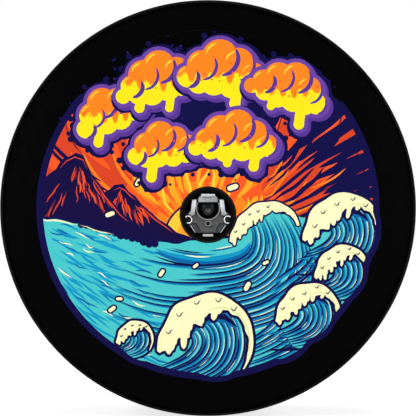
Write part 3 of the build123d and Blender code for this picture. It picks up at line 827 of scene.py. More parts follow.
# Each cloud: x, z, size, lean in degrees, which way round it is, and its drips,
# which are x, where the drip starts, its length and its radius
CLOUDS = (
    (-190, 186, 70, 24, 1, ((-0.42, -0.30, 0.42, 0.13),)),
    (-98, 248, 78, 12, -1, ((0.46, -0.30, 0.30, 0.12), (-0.30, -0.30, 0.46, 0.10))),
    (30, 264, 86, -4, 1, ((0.34, -0.34, 0.34, 0.12),)),
    (156, 232, 76, -18, -1, ((-0.44, -0.30, 0.46, 0.13), (0.30, -0.34, 0.24, 0.10))),
    (-84, 118, 70, 6, 1, ((-0.34, -0.30, 0.44, 0.14),)),
    (50, 134, 80, 0, -1, ((0.10, -0.34, 0.26, 0.10), (-0.54, -0.26, 0.36, 0.12))),
)


def cloud_shape(x, z, size, lean, flip, runs):
    """A cloud's puffs (x, z, radius) and drips (root, tip, radius) in millimetres."""
    c, s = unit(lean) * size

    def put(px, pz):
        return x + flip * px * c - pz * s, z + flip * px * s + pz * c

    puffs = [(*put(px, pz), size * r * chance(0.95, 1.06)) for px, pz, r in CLOUD_PUFFS]
    drips = []
    for px, pz, length, r in runs:
        root = put(px, pz)
        tip = (root[0] - 0.06 * size, root[1] - size * length * chance(0.8, 1.15))
        drips.append((root, tip, size * r))
    return puffs, drips


def grown(puffs, drips, by, shift=(0, 0)):
    """A cloud's outlines, made larger by some millimetres and moved."""
    dx, dz = shift
    shapes = [circle(px + dx, pz + dz, r + by) for px, pz, r in puffs]
    for root, tip, r in drips:
        line = np.linspace(root, tip, 3) + shift
        shapes += [ribbon(line, 2 * (r + by), (0, 0)), circle(*line[-1], 1.08 * r + by)]
    return shapes


def arc_stroke(puff, share, angles, width, power=0.7):
    """A stroke over a puff, at a share of its radius, through the angles given."""
    x, z, r = puff
    points = [(x + share * r * cos(t), z + share * r * sin(t)) for t in angles]
    return brush(points, width, power=power)


def draw_cloud(rim, x, z, size, shape):
    """A puffy cloud, orange above and dripping yellow below, with a thick purple edge."""
    puffs, drips = shape
    layer("navy", grown(puffs, drips, 13, (4, -5)), rim)
    layer("purple", grown(puffs, drips, 8, (5, -6)), rim)
    layer("violet", grown(puffs, drips, 7.5), rim)
    fill = layer("yellow", grown(puffs, drips, 0), rim)
    slumps = [chance(0.04, 0.24) for _ in range(8)]
    left, right, over = x - 1.4 * size, x + 1.4 * size, z + 1.2 * size
    for ink, level in (("amber", -0.05), ("orange", -0.01)):
        high = z + level * size
        edge = [(left, high)]
        for k, slump in enumerate(slumps):
            at = x + size * (-1.15 + 2.3 * (k + 0.5) / len(slumps))
            low = z + (level - slump) * size
            dip = ((-0.10, high), (-0.05, low), (0.05, low), (0.10, high))
            edge += [(at + side * size, height) for side, height in dip]
        edge.append((right, high))
        layer(ink, [[(left, over)] + plain(smooth_line(edge, per=2)) + [(right, over)]], fill)
    folds, shines, gaps = [], [], []
    for k, puff in enumerate(puffs[:5]):
        gaps.append(arc_stroke(puff, 1, (-1.5, -1.0, -0.5, 0.0, 0.5), size * (0.075 if k % 2 else 0.11), 0.5))
        folds.append(arc_stroke(puff, 0.97, (-0.4, 0.0, 0.4, 0.8), max(2.0, size * 0.030)))
        shines.append(arc_stroke(puff, 0.80, (2.9, 2.5, 2.1, 1.8), puff[2] * 0.13))
    layer("flame", folds, fill)
    layer("purple", gaps, fill)
    layer("sun", shines, fill)
    specks = []
    for _ in range(16):
        at = (x + size * chance(-0.8, 0.8), z + size * chance(-0.25, 0.2))
        specks.append(circle(*at, chance(0.9, 2.0), 8))
    layer("flame", specks, fill)


def draw_clouds(rim):
    """All the clouds over one dark, bumpy ground with loose drops round it."""
    shapes = [cloud_shape(*place) for place in CLOUDS]
    ground = [circle(-96, 184, 56), circle(-10, 196, 58), circle(90, 190, 52)]
    drops = []
    for (x, z, size, *_), (puffs, drips) in zip(CLOUDS, shapes):
        ground += grown(puffs, drips, 16, (3, -4))
        for px, pz, r in puffs + [(*tip, r) for _, tip, r in drips]:
            for k in range(7):
                a = TAU * (k + chance(0, 1)) / 7
                bump = (px + (r + 17) * cos(a), pz + (r + 17) * sin(a))
                ground.append(circle(*bump, chance(3, 7.5)))
        for k in range(9):
            a = TAU * k / 9 + chance(-0.2, 0.2)
            reach = size * chance(1.12, 1.42)
            at = (x + reach * cos(a), z + 0.85 * reach * sin(a))
            drops.append(circle(*at, chance(1.8, 4.4)))
    layer("navy", ground + drops, rim)
    glow = [circle(chance(-190, 190), chance(80, 320), chance(1.4, 3.2), 9) for _ in range(34)]
    layer("indigo", glow, rim)
    for (x, z, size, *_), shape in zip(CLOUDS, shapes):
        draw_cloud(rim, x, z, size, shape)


# Round swells of the dark rim behind the waves: x, z and radius
RIM_SWELLS = (
    (240, -40, 97), (236, -118, 76), (188, -200, 64), (132, -226, 78), (14, -250, 88), (-118, -238, 70),
)
# The breaking waves: the middle of each curl, and its size
WAVES = (((258, -46), 72), ((258, -124), 50), ((192, -207), 59), ((-8, -258), 88), ((-143, -254), 34))
# Drops of spray: x, z and radius
SPRAY = (
    (-190, -12, 6), (-136, 50, 5), (-90, -126, 5), (-24, -112, 4), (-172, -176, 4), (-186, -196, 5),
    (112, -106, 4), (76, -152, 6), (48, 40, 7), (130, 136, 6), (322, -80, 5), (216, 180, 4),
)
# The plain black above the picture
TOP = [(-345, 214), (-262, 214), (-200, 236), (200, 226), (246, 206), (345, 206), (345, 345), (-345, 345)]


def draw_picture():
    swells, inner_swells = ([circle(x, z, r - inset, 60) for x, z, r in RIM_SWELLS] for inset in (0, 11))
    disc = layer(None, [circle(0, 0, 344, 180)])
    rim = layer("navy", [circle(0, 0, RIM_R, 180)] + swells, disc)
    picture = layer(None, [circle(0, 0, PICTURE_R, 180)] + inner_swells, disc)
    draw_sky(picture)
    draw_streaks(picture)
    draw_sun(picture)
    draw_mountains(picture)
    draw_sea(picture)
    draw_foam(picture, MAIN_CREST, 3.4, 9)
    for middle, size in WAVES:
        draw_wave(picture, middle, size)
    draw_spray(picture, SPRAY)
    layer("black", [TOP], disc)
    draw_clouds(disc)


# ---------------- front panel
PANEL_STEPS = 720  # points round the panel where the picture's mesh meets the plain rim
ART_R = 345.0
RIM_RINGS = 20
BEND_RINGS = (301.0, 308.0, 324.5, 339.0)  # extra points where the panel bends
PUCKER_R = 0.352  # the puckers begin here
PUCKER_EASE_R = 0.390


def panel_line(radius):
    """Depth of the panel's outer face at a radius, and the angle it has turned by."""
    if radius <= PANEL_FLAT_R:
        return FACE_Y, 0.0
    turn = asin((radius - PANEL_FLAT_R) / PANEL_BEND_R)
    return FACE_Y + PANEL_BEND_R * (1 - cos(turn)), turn


def pucker(radius, angle):
    """The small puckers where the panel is gathered into the seam."""
    near = max(0.0, (radius - PUCKER_R) / (SEAM_R - PUCKER_R))
    wave = sin(57 * angle + 1.3 * sin(9 * angle)) + 0.5 * sin(91 * angle + 2)
    return 0.00035 * near * near * wave * (1 - 0.6 * max(0, (radius - PUCKER_EASE_R) / 0.012))


def panel_point(x, z, depth):
    """A point on the panel above a place in the face, set back by depth along the face's normal."""
    radius = hypot(x, z)
    y, turn = panel_line(radius)
    lift = pucker(radius, atan2(z, x)) - depth
    ux, uz = (x / radius, z / radius) if radius > 1e-9 else (1, 0)
    out = sin(turn) * lift
    return Vector((x + ux * out, y - cos(turn) * lift, z + uz * out))


def inside(polygon, x, z):
    """Which of the places x, z lie inside a polygon, by its winding number."""
    outline = np.array(polygon)
    low, high = outline.min(axis=0), outline.max(axis=0)
    near = np.nonzero((x > low[0]) & (x < high[0]) & (z > low[1]) & (z < high[1]))[0]
    px, pz = x[near], z[near]
    turns = np.zeros(len(near), dtype=int)
    for (ax, az), (bx, bz) in zip(outline, np.roll(outline, -1, axis=0)):
        side = (bx - ax) * (pz - az) - (px - ax) * (bz - az)
        turns += (az <= pz) & (bz > pz) & (side > 0)
        turns -= (az > pz) & (bz <= pz) & (side < 0)
    found = np.zeros(len(x), dtype=bool)
    found[near[turns != 0]] = True
    return found


def picture_mesh():
    """Triangulates all the picture's outlines together, into points in millimetres, triangles and inks."""
    points, edges = [], []
    border = circle(0, 0, ART_R, PANEL_STEPS)
    port = circle(0, PORT.z / MM, PORT_HOLE_R / MM, 96)
    for polygon in [shape for _, shapes, _ in LAYERS for shape in shapes] + [border, port]:
        base, n = len(points), len(polygon)
        points.extend(Vector(q) for q in polygon)
        edges.extend((base + i, base + (i + 1) % n) for i in range(n))
    for radius in BEND_RINGS:
        points.extend(Vector(q) for q in circle(0, 0, radius, 180))
    verts, _, faces, _, _, _ = delaunay_2d_cdt(points, edges, [], 0, 1e-4, False)
    flat = np.array([(v.x, v.y) for v in verts])
    corners = np.array(faces)
    x, z = flat[corners].mean(axis=1).T
    keep = inside(border, x, z) & ~inside(port, x, z)
    corners, x, z = corners[keep], x[keep], z[keep]
    order = list(INKS)
    inks = np.full(len(corners), order.index("black"))
    masks = []
    for ink, shapes, within in LAYERS:
        mask = np.zeros(len(corners), dtype=bool)
        for shape in shapes:
            mask |= inside(shape, x, z)
        if within is not None:
            mask &= masks[within]
        if ink:
            inks[mask] = order.index(ink)
        masks.append(mask)
    used, corners = np.unique(corners, return_inverse=True)
    return flat[used], corners.reshape(-1, 3).tolist(), inks.tolist()


def build_front_panel(materials):
    verts, faces, slots = picture_mesh()
    black = list(INKS).index("black")
    flat = [(x * MM, z * MM) for x, z in verts]

    def angle_of(i):
        return atan2(flat[i][1], flat[i][0])

    # rings of plain vinyl, from the points where the picture's mesh ends out to the seam
    inner = [i for i, (x, z) in enumerate(flat) if abs(hypot(x, z) - ART_R * MM) < 1e-6]
    inner.sort(key=angle_of)
    angles = [angle_of(i) for i in inner]
    for radius in np.linspace(ART_R * MM, SEAM_R - 0.0006, RIM_RINGS + 1)[1:]:
        outer = list(range(len(flat), len(flat) + len(inner)))
        flat += [(radius * cos(a), radius * sin(a)) for a in angles]
        for corners in zip(inner, inner[1:] + inner[:1], outer[1:] + outer[:1], outer):
            faces.append(list(corners))
            slots.append(black)
        inner = outer
    total = len(flat)
    points = [tuple(panel_point(x, z, depth)) for depth in (0.0, VINYL) for x, z in flat]
    all_faces = [tuple(f) for f in faces]
    all_faces += [tuple(i + total for i in reversed(f)) for f in faces]
    edges = dict.fromkeys((a, b) for f in faces for a, b in zip(f, f[1:] + f[:1]))
    all_faces += [(b, a, a + total, b + total) for a, b in edges if (b, a) not in edges]
    mesh = bpy.data.meshes.new("front_panel_print")
    mesh.from_pydata(points, [], all_faces)
    mesh.shade_smooth()
    mesh.polygons.foreach_set("material_index", slots + [black] * (len(all_faces) - len(slots)))
    panel = add_piece("front_panel_print", outward(mesh), *materials)
    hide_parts("front_panel")


# ---------------- side band
BAND_STEPS = 600
BAND_GAP = radians(0.05)


def band_line():
    """The band's outer face from the front seam to the rear seam."""
    front = arc((SHOULDER_RING_R, -SHOULDER_Y), SHOULDER_R, -SHOULDER_TURN, 0, 12)
    rear = arc((SHOULDER_RING_R, SHOULDER_Y), SHOULDER_R, 0, SHOULDER_TURN, 12)
    straight = [(BAND_R, y) for y in np.linspace(-SHOULDER_Y, SHOULDER_Y, 30)[1:-1]]
    return front + straight + rear


def band_ripple(angle, y):
    """Slack in the band: soft ripples between the seams, more at the bottom where it is joined."""
    across = cos(pi * y / (2 * SEAM_Y)) ** 2
    bottom = max(0.0, -sin(angle)) ** 6
    swell = 0.25 * sin(7 * angle + 18 * y) + 0.16 * sin(23 * angle - 30 * y + 1.0)
    crease = bottom * sin(120 * angle + 40 * y)
    seam = 0.22 * sin(83 * angle + 1.5 * sin(11 * angle)) * (1 - across) ** 3
    return 0.001 * (across * (swell + 0.25 * crease) + seam)


def build_band(material):
    base = band_line()

    def section(angle):
        return thicken([(r + band_ripple(angle, y), y) for r, y in base], VINYL)

    start = BAND_GAP - pi / 2
    band = add_ring("side_band_cloth", material, section, BAND_STEPS, start, start + TAU - 2 * BAND_GAP)
    punch(band, [polar(BAND_R, a, DRAIN_Y) for a in DRAIN_ANGLES])
    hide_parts("side_band")


def punch(piece, centres, axis=None):
    """Cuts the eyelets' holes through a cloth piece, along each centre's own radius or along one axis."""
    cutters = []
    for centre in centres:
        out = axis or Vector((centre.x, 0, centre.z)).normalized()
        mesh = bpy.data.meshes.new("cutter")
        bm = bmesh.new()
        bmesh.ops.create_cone(
            bm, cap_ends=True, segments=32, radius1=EYELET_HOLE_R, radius2=EYELET_HOLE_R, depth=0.03
        )
        bm.to_mesh(mesh)
        bm.free()
        cutter = add_object("cutter", mesh)
        turn_to(cutter, out, "Z")
        cutter.location = centre
        cutters.append(cutter)
        cut = piece.modifiers.new("punch", "BOOLEAN")
        cut.operation = "DIFFERENCE"
        cut.object = cutter
        cut.solver = "EXACT"
    bpy.context.view_layer.update()
    graph = bpy.context.evaluated_depsgraph_get()
    mesh = bpy.data.meshes.new_from_object(piece.evaluated_get(graph))
    piece.modifiers.clear()
    piece.data = mesh
    for cutter in cutters:
        bpy.data.objects.remove(cutter)


# ---------------- rear skirt and hem
SKIRT_STEPS = 1080
FOLDS = 118
FOLD_LIMITS = ((0.0016, 0.0046), (0.0032, 0.0056), (0.020, 0.062))  # of height, width and reach


def make_folds():
    """Every gather in the skirt: where it is, how high, how wide and how far out it reaches."""
    rng = random.Random(31)
    folds = []
    for i in range(FOLDS):
        angle = TAU * (i + rng.uniform(-0.30, 0.30)) / FOLDS
        folds.append((angle, *(rng.uniform(*limits) for limits in FOLD_LIMITS)))
    return np.array(folds).T


FOLD_ANGLE, FOLD_HEIGHT, FOLD_WIDTH, FOLD_REACH = make_folds()


def gather(radius, angle):
    """How far the gathered skirt stands proud at a place."""
    out = max(0.0, radius - SKIRT_EDGE_R)
    gap = (angle - FOLD_ANGLE + pi) % TAU - pi
    ridge = np.exp(-np.square(gap * radius / (FOLD_WIDTH * (1 + out * 16))))
    fade = np.exp(-np.square(out / FOLD_REACH))
    near_seam = max(0.0, min(1.0, (SEAM_R - radius) / 0.030))
    return float((FOLD_HEIGHT * ridge * fade).sum()) * near_seam


def skirt_line():
    """The skirt's outer face from the rear seam in to its gathered edge."""
    turn = asin((SEAM_R - SKIRT_FLAT_R) / SKIRT_BEND_R)
    centre = (SKIRT_FLAT_R, SKIRT_Y - SKIRT_BEND_R)
    bend = arc(centre, SKIRT_BEND_R, pi / 2 - turn, pi / 2, 16)
    flat = [(r, SKIRT_Y) for r in np.linspace(SKIRT_FLAT_R, SKIRT_EDGE_R, 18)[1:]]
    return bend + flat


def build_skirt(material):
    base = skirt_line()

    def section(angle):
        return thicken([(r, y + gather(r, angle)) for r, y in base], VINYL)

    skirt = add_ring("rear_skirt_cloth", material, section, SKIRT_STEPS)
    punch(skirt, [polar(LOCK_RING_R, a, SKIRT_Y) for a in LOCK_ANGLES], REARWARD)
    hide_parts("rear_skirt")


CASING_R = 0.0043
CASING_WALL = 0.0009
LEG_END_R = HEM_R + 0.0145  # where the casing's legs end on the skirt


def hem_shift(angle):
    """How the hem's centre line moves along the axle with the gathers."""
    return 0.55 * (gather(SKIRT_EDGE_R, angle) - 0.0016)


def scrunch(angle, around):
    """Fine bunching of the casing over the elastic."""
    a = sin(211 * angle + 2.1 * sin(13 * angle))
    b = sin(149 * angle + 3.0 * sin(around) + 1.7 * sin(17 * angle))
    return 0.00042 * a + 0.00032 * b


def build_casing(material):
    def section(angle):
        shift = hem_shift(angle)
        lift = gather(LEG_END_R - 0.002, angle)
        rear, front = SKIRT_Y, SKIRT_Y - VINYL
        line = [
            (LEG_END_R, rear + lift + 0.0008),
            (LEG_END_R - 0.004, rear + lift + 0.0011),
            (LEG_END_R - 0.008, rear + (lift + gather(SKIRT_EDGE_R, angle)) / 2 + 0.0011),
        ]
        for k in range(15):
            a = radians(80) + radians(200) * k / 14
            r = CASING_R + scrunch(angle, a)
            line.append((HEM_R + r * cos(a), HEM_Y + shift + r * sin(a)))
        line.append((LEG_END_R - 0.006, front + (lift + shift) / 2 - 0.0010))
        line.append((LEG_END_R, front + lift - 0.0008))
        return thicken(line, CASING_WALL)

    casing = add_ring("hem_casing_cloth", material, section, SKIRT_STEPS)
    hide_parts("hem_casing")


SLEEVE_R = 0.00325


def build_elastic(material, sleeve):
    def rope_section(angle):
        return circle(HEM_R, HEM_Y + hem_shift(angle), ELASTIC_R * 0.9, 12)

    gap = radians(0.1)
    top = pi / 2
    rope = add_ring("elastic_rope", material, rope_section, 540, top + gap, top + TAU - gap)
    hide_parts("elastic_cord")

    def sleeve_section(angle):
        return circle(HEM_R, HEM_Y + hem_shift(angle), SLEEVE_R, 24)

    half = radians(2)
    crimp = add_ring("elastic_sleeve", sleeve, sleeve_section, 24, top - half, top + half)
    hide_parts("elastic_ferrule")


# ---------------- piping, port binding and eyelets
PIPE_TAIL_TURN = radians(48.6)


def build_piping(material):
    def section(angle):
        r = PIPE_R * (0.985 + 0.012 * sin(97 * angle) + 0.008 * sin(41 * angle + 1))
        return circle(PIPE_RING_R, PIPE_Y, r, 20)

    welt = add_ring("piping_welt", material, section, 720)
    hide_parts("piping_cover", "piping_core")
    inward, back = cos(PIPE_TAIL_TURN), sin(PIPE_TAIL_TURN)
    tail = thicken([(PIPE_RING_R - inward * s, PIPE_Y + back * s) for s in (0.0028, 0.006, 0.010)], 0.0007)
    flange = add_ring("piping_tail", material, lambda angle: tail, 240)


BINDING_ROUND = 0.00176  # rounding of the binding where it folds over the panel's edge


def port_section():
    """Rounded section of the binding folded over the panel's edge at the port."""
    front, back = port_low.y, port_high.y
    inner, outer = PORT_BORE_R, PORT_BINDING_R
    fold = inner + BINDING_ROUND
    middle = (outer + inner) / 2
    points = [(outer, front + 0.0014), (outer - 0.0005, front + 0.0004), (outer - 0.0014, front)]
    points += [(middle, front + 0.0002), (inner + 0.0022, front)]
    points += arc((fold, front + BINDING_ROUND), BINDING_ROUND, -pi / 2, -pi, 6)
    points += arc((fold, back - BINDING_ROUND), BINDING_ROUND, -pi, -1.5 * pi, 6)
    points += [(middle, back - 0.0001), (outer - 0.0014, back), (outer - 0.0004, back - 0.0003)]
    points += [(outer, back - 0.0012), (outer, back - 0.0016)]
    return points


def build_port_binding(material, thread):
    base = port_section()

    def section(angle):
        wobble = 0.00012 * sin(46 * angle) + 0.0001 * sin(29 * angle + 1)
        return [(r, y + wobble) for r, y in base]

    binding = add_ring("port_binding_tape", material, section, 240)
    binding.data.transform(Matrix.Translation(PORT))
    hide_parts("port_binding")

    def place(s):
        return polar(0.0522, TAU * s, port_low.y + 0.0001) + PORT, -REARWARD

    stitch_row("port_stitches", place, 84, thread, radius=0.00042)


# Sections through an eyelet: the rolled ring in front of the cloth and the flat washer behind it
WASHER_SECTION = [(EYELET_HOLE_R, 0.0), (0.0103, 0.0), (0.0105, 0.0003), (0.0103, 0.0008)]
WASHER_SECTION += [(EYELET_HOLE_R, 0.0008)]
ROLL_Y = 0.00095
ROLL = arc((0.0078, ROLL_Y), 0.0026, pi, 0, 9)
RING_SECTION = [(r, 0.00015 + 0.55 * abs(y - ROLL_Y)) for r, y in ROLL]
RING_SECTION += [(0.0100, 0.0), (EYELET_HOLE_R, 0.0), (0.0059, -0.0024), (0.0051, -0.0024)]
EYELET_SIDES = 40


def add_eyelets(name, centres, outs, section, material):
    """Rolled eyelets, or their flat washers, at each centre."""
    points, faces = [], []
    for centre, out in zip(centres, outs):
        across = out.orthogonal().normalized()
        up = out.cross(across)
        faces += tube_faces(len(points), EYELET_SIDES, len(section), True)
        for i in range(EYELET_SIDES):
            a = TAU * i / EYELET_SIDES
            ray_out = across * cos(a) + up * sin(a)
            points += [centre + ray_out * r + out * h for r, h in section]
    return add_piece(name, mesh_from(name, points, faces), material)


def build_eyelets(material):
    outs = [polar(1, a, 0) for a in DRAIN_ANGLES]
    drains = [polar(BAND_R + 0.0002, a, DRAIN_Y) for a in DRAIN_ANGLES]
    drain_backs = [polar(BAND_R - VINYL - 0.0010, a, DRAIN_Y) for a in DRAIN_ANGLES]
    locks = [polar(LOCK_RING_R, a, SKIRT_Y + 0.0012) for a in LOCK_ANGLES]
    lock_backs = [p - REARWARD * (VINYL + 0.0024) for p in locks]
    rear = [REARWARD] * 2
    for name, places, ways, section, node in (
        ("drain_eyelet_rings", drains, outs, RING_SECTION, "drain_eyelets"),
        ("drain_eyelet_backs", drain_backs, outs, WASHER_SECTION, "drain_eyelet_washers"),
        ("lock_eyelet_rings", locks, rear, RING_SECTION, "lock_eyelets"),
        ("lock_eyelet_backs", lock_backs, rear, WASHER_SECTION, "lock_eyelet_washers"),
    ):
        ring = add_eyelets(name, places, ways, section, material)
        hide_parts(node)


# ---------------- seams' stitches
TOPSTITCH_TURN = 0.80  # the topstitching's place on the shoulders, as a share of their turn


def build_stitches(thread):
    def on_band(side):
        a = SHOULDER_TURN * TOPSTITCH_TURN
        r = SHOULDER_RING_R + SHOULDER_R * cos(a)
        y = side * (SHOULDER_Y + SHOULDER_R * sin(a))

        def place(s):
            t = TAU * s
            return polar(r + band_ripple(t, y), t, y), polar(cos(a), t, side * sin(a))

        return place

    def on_skirt(s):
        t = TAU * s
        radius = LEG_END_R - 0.0028
        return polar(radius, t, SKIRT_Y + gather(radius, t) + 0.0011), REARWARD

    stitch_row("front_topstitch", on_band(-1), 520, thread)
    stitch_row("rear_topstitch", on_band(1), 520, thread)
    stitch_row("hem_stitch", on_skirt, 400, thread)
    for side, name in ((-1, "joint_stitch_left"), (1, "joint_stitch_right")):
        angle = -pi / 2 + side * 0.0045 / BAND_R

        def beside_joint(s, angle=angle):
            y = (s - 0.5) * 2 * (SHOULDER_Y - 0.002)
            return polar(BAND_R + band_ripple(angle, y), angle, y), polar(1, angle, 0)

        stitch_row(name, beside_joint, 34, thread, closed=False)


# ---------------- camera and the rest of the CAD nodes
def dress_cad(material, *names):
    """Gives CAD nodes that stay their material."""
    for name in names:
        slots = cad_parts[name].data.materials
        slots.clear()
        slots.append(material)


ROUNDED = (
    "camera_bracket", "chin_cover", "arm_cap_left", "arm_cap_right", "bridge_cap", "latch_bar",
    "corner_clip_left", "corner_clip_right",
)
ROUNDING = 0.0005


def soften(names, width):
    """Rounds the edges of machined and moulded CAD pieces."""
    for name in names:
        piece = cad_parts[name]
        weld = piece.modifiers.new("weld", "WELD")
        weld.merge_threshold = 0.00002
        bevel = piece.modifiers.new("edges", "BEVEL")
        bevel.width = width
        bevel.segments = 2
        bevel.limit_method = "ANGLE"
        bevel.angle_limit = radians(35)
        bevel.harden_normals = True


# ---------------- stage, light and camera
WHITE = (1, 1, 1, 1)
FLOOR_FADE = (0.6, 3.0)  # distances over which the floor turns from lit grey to plain white


def build_floor():
    s = Shader("studio_floor", (0.55, 0.55, 0.55, 1), 0.8, specular=0.05)
    distance = s.node("ShaderNodeVectorMath")
    distance.operation = "LENGTH"
    s.link(s.where(), distance.inputs[0])
    far = distance.outputs["Value"]
    s.link(s.spread(far, 0.74, 1.0, *FLOOR_FADE), s.bsdf.inputs["Emission Strength"])
    s.set("Emission Color", WHITE)
    s.blend(s.spread(far, 0, 1, *FLOOR_FADE), (0.42, 0.42, 0.42, 1), (0.0, 0.0, 0.0, 1))
    bpy.ops.mesh.primitive_plane_add(size=40, location=(0, 0, cad_box[0].z - 0.001))
    floor = bpy.context.object
    floor.name = "studio_floor"
    floor.data.materials.append(s.material)


def build_world():
    """White where the camera sees it, and a dim fill light everywhere else."""
    world = bpy.data.worlds.new("studio")
    bpy.context.scene.world = world
    world.use_nodes = True
    nodes, links = world.node_tree.nodes, world.node_tree.links
    mix = nodes.new("ShaderNodeMixShader")
    path = nodes.new("ShaderNodeLightPath")
    links.new(path.outputs["Is Camera Ray"], mix.inputs["Fac"])
    skies = ((1, nodes["Background"], 0.05), (2, nodes.new("ShaderNodeBackground"), 1.0))
    for slot, sky, strength in skies:
        sky.inputs["Color"].default_value = WHITE
        sky.inputs["Strength"].default_value = strength
        links.new(sky.outputs["Background"], mix.inputs[slot])
    links.new(mix.outputs["Shader"], nodes["World Output"].inputs["Surface"])


def turn_to(thing, way, axis):
    """Turns an object so that the axis named looks along a direction."""
    thing.rotation_mode = "QUATERNION"
    thing.rotation_quaternion = way.to_track_quat(axis, "Y")


# Each light: where it stands, what it faces, its power and its size
LIGHTS = {
    "key_left": ((-2.9, -2.2, 1.3), (0, 0, 0), 70, (1.4, 1.8)),
    "key_right": ((2.9, -2.2, 1.1), (0, 0, 0), 64, (1.4, 1.8)),
    "overhead": ((0, 0.2, 3.4), (0, 0, 0), 84, (2.4, 2.4)),
    "rear_left": ((-2.6, 2.6, 1.6), (0, 0, 0), 90, (1.5, 1.5)),
    "rear_right": ((2.8, 2.4, 1.2), (0, 0, 0), 80, (1.5, 1.5)),
    "low_front": ((0, -3.0, -0.2), (0, 0, -0.4), 6, (2.0, 0.4)),
}


def build_lights():
    for name, (place, target, power, size) in LIGHTS.items():
        data = bpy.data.lights.new(name, "AREA")
        data.energy = power
        data.shape = "RECTANGLE"
        data.size, data.size_y = size
        lamp = add_object(name, data)
        lamp.location = place
        turn_to(lamp, Vector(target) - Vector(place), "-Z")


LENS = 120.0
SENSOR = 36.0


def build_camera():
    """A camera straight in front of the axle, so far away that the piping just fills the image."""
    data = bpy.data.cameras.new("photo_camera")
    data.lens = LENS
    data.sensor_width = SENSOR
    data.clip_end = 200
    data.dof.use_dof = False
    cam = add_object("photo_camera", data)
    half = SENSOR / 2 / LENS
    reach = (PIPE_RING_R + PIPE_R) / half + abs(PIPE_Y)
    cam.location = (0, -reach, 0)
    cam.rotation_euler = (pi / 2, 0, 0)
    bpy.context.scene.camera = cam
    view = bpy.context.scene.view_settings
    view.view_transform = "Standard"
    view.look = "None"


# ---------------- put it together
# Painted highlights: the raised rims and the tops of some mouldings are painted paler where light catches
# them: axis, start, end and colour
LIP_HIGHLIGHT = ("Y", -0.1224, -0.1232, srgb(168, 169, 171))
CLIP_EDGE_HIGHLIGHT = ("Y", -0.1234, -0.1242, srgb(176, 178, 184))
CHIN_RING_HIGHLIGHT = ("Y", -0.1232, -0.1242, srgb(126, 126, 127))
ARM_TOP_HIGHLIGHT = ("Z", -0.016, 0.014, srgb(238, 239, 240))


def build_cover(steel):
    """The sewn cover, with its print, in cloth, tape, thread and eyelets."""
    black_vinyl = vinyl("black_vinyl", srgb(5, 6, 8), srgb(12, 13, 16), 0.40, 0.30)
    piping = vinyl("piping_vinyl", srgb(6, 6, 8), srgb(11, 11, 13), 0.5, 0.07)
    port_rubber = vinyl("port_rubber", srgb(4, 4, 6), srgb(7, 7, 9), 0.6, 0.04)
    tape = woven("binding_tape", srgb(14, 14, 16), srgb(32, 32, 34))
    thread = woven("black_thread", srgb(12, 12, 14), srgb(26, 26, 30), 900)
    elastic = woven("elastic_braid", srgb(30, 30, 34), srgb(70, 70, 74), 700)
    eyelet = brushed("eyelet_black", srgb(38, 38, 40), srgb(64, 64, 66), 0.32, 0.9)
    dress_cad(black_vinyl, "band_joint_strip")
    dress_cad(tape, "front_seam_binding", "rear_seam_binding", "rear_seam_tape")
    draw_picture()
    build_front_panel([vinyl(f"ink_{name}", srgb(*colour)) for name, colour in INKS.items()])
    build_band(black_vinyl)
    build_skirt(black_vinyl)
    build_casing(black_vinyl)
    build_elastic(elastic, steel)
    build_piping(piping)
    build_port_binding(port_rubber, thread)
    build_eyelets(eyelet)
    build_stitches(thread)


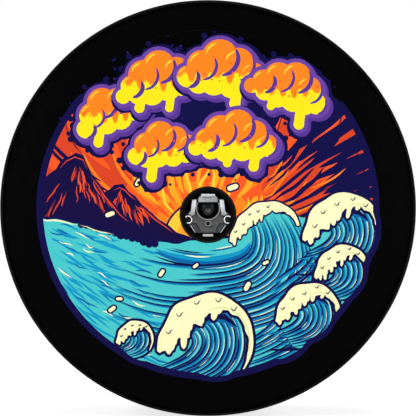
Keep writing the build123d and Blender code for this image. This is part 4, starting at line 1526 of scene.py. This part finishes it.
def dress_camera(steel):
    """The camera and its post stay CAD nodes, with rounded edges and their own materials."""
    screw = brushed("black_oxide", srgb(26, 26, 28), srgb(44, 44, 46), 0.4)
    bright = brushed("bright_zinc", srgb(214, 214, 216), srgb(180, 180, 184), 0.2)
    # The clips' edges, the arms' tops, the bracket's lip and the chin's front ring get painted highlights.
    clip_steel = brushed("dark_steel", srgb(70, 72, 78), srgb(46, 48, 53), 0.36, 0.5, CLIP_EDGE_HIGHLIGHT)
    barrel = brushed("barrel_black", srgb(24, 24, 26), srgb(44, 44, 46), 0.35, 0.6)
    arm = plastic("arm_plastic", srgb(134, 136, 138), srgb(104, 106, 109), 0.3, 0.6, painted_highlight=ARM_TOP_HIGHLIGHT)
    nylon = plastic("gland_nylon", srgb(24, 24, 26), srgb(40, 40, 42), 0.55)
    head = plastic("head_plastic", srgb(9, 9, 10), srgb(18, 18, 20), 0.45, 0.18)
    post = powder_coat("post_coat", srgb(22, 22, 24), srgb(36, 36, 38))
    dress_cad(screw, "chin_screw", "side_screws", "side_washers")
    dress_cad(bright, "side_hooks", "latch_bar", "pivot_washers")
    dress_cad(steel, "bracket_screws", "pivot_pins")
    dress_cad(clip_steel, "corner_clip_left", "corner_clip_right")
    dress_cad(barrel, "lens_barrel", "lens_retainer")
    dress_cad(cast_metal("cast_grey", srgb(58, 59, 61), srgb(38, 39, 41), LIP_HIGHLIGHT), "camera_bracket")
    dress_cad(plastic("shroud_plastic", srgb(4, 4, 5), srgb(8, 8, 9), 0.66, 0.03), "camera_shroud")
    # The chin's plastic is painted darker than the arms' as painted shade, for the chin faces down, away from
    # the light.
    dress_cad(plastic("chin_plastic", srgb(78, 78, 78), srgb(54, 54, 55), painted_highlight=CHIN_RING_HIGHLIGHT), "chin_cover")
    dress_cad(plastic("cap_plastic", srgb(184, 186, 188), srgb(128, 130, 133), 0.32, 0.5), "bridge_cap")
    dress_cad(arm, "arm_cap_left", "arm_cap_right")
    dress_cad(plastic("badge_blank", srgb(226, 226, 222), srgb(204, 204, 200), 0.3), "blank_badge")
    dress_cad(nylon, "port_stiffener", "cable_gland", "gland_nut")
    dress_cad(head, "head_front_shell", "head_rear_shell")
    dress_cad(plastic("sensor_package", srgb(30, 36, 46), srgb(60, 66, 80), 0.15), "image_sensor")
    dress_cad(plastic("board_lacquer", srgb(16, 84, 44), srgb(10, 56, 30), 0.25), "sensor_board")
    dress_cad(post, "post_head_plate", "post_tube", "post_gussets", "post_flange")
    dress_cad(rubber("seal_rubber", srgb(16, 16, 17)), "head_seal", "head_cable_grommet")
    dress_cad(glass("lens_coated", srgb(84, 46, 60)), "lens_glass", "rear_element")
    soften(ROUNDED, ROUNDING)


zinc_steel = brushed("zinc_steel", srgb(176, 176, 178), srgb(140, 140, 142))
build_cover(zinc_steel)
dress_camera(zinc_steel)
build_floor()
build_world()
build_lights()
build_camera()
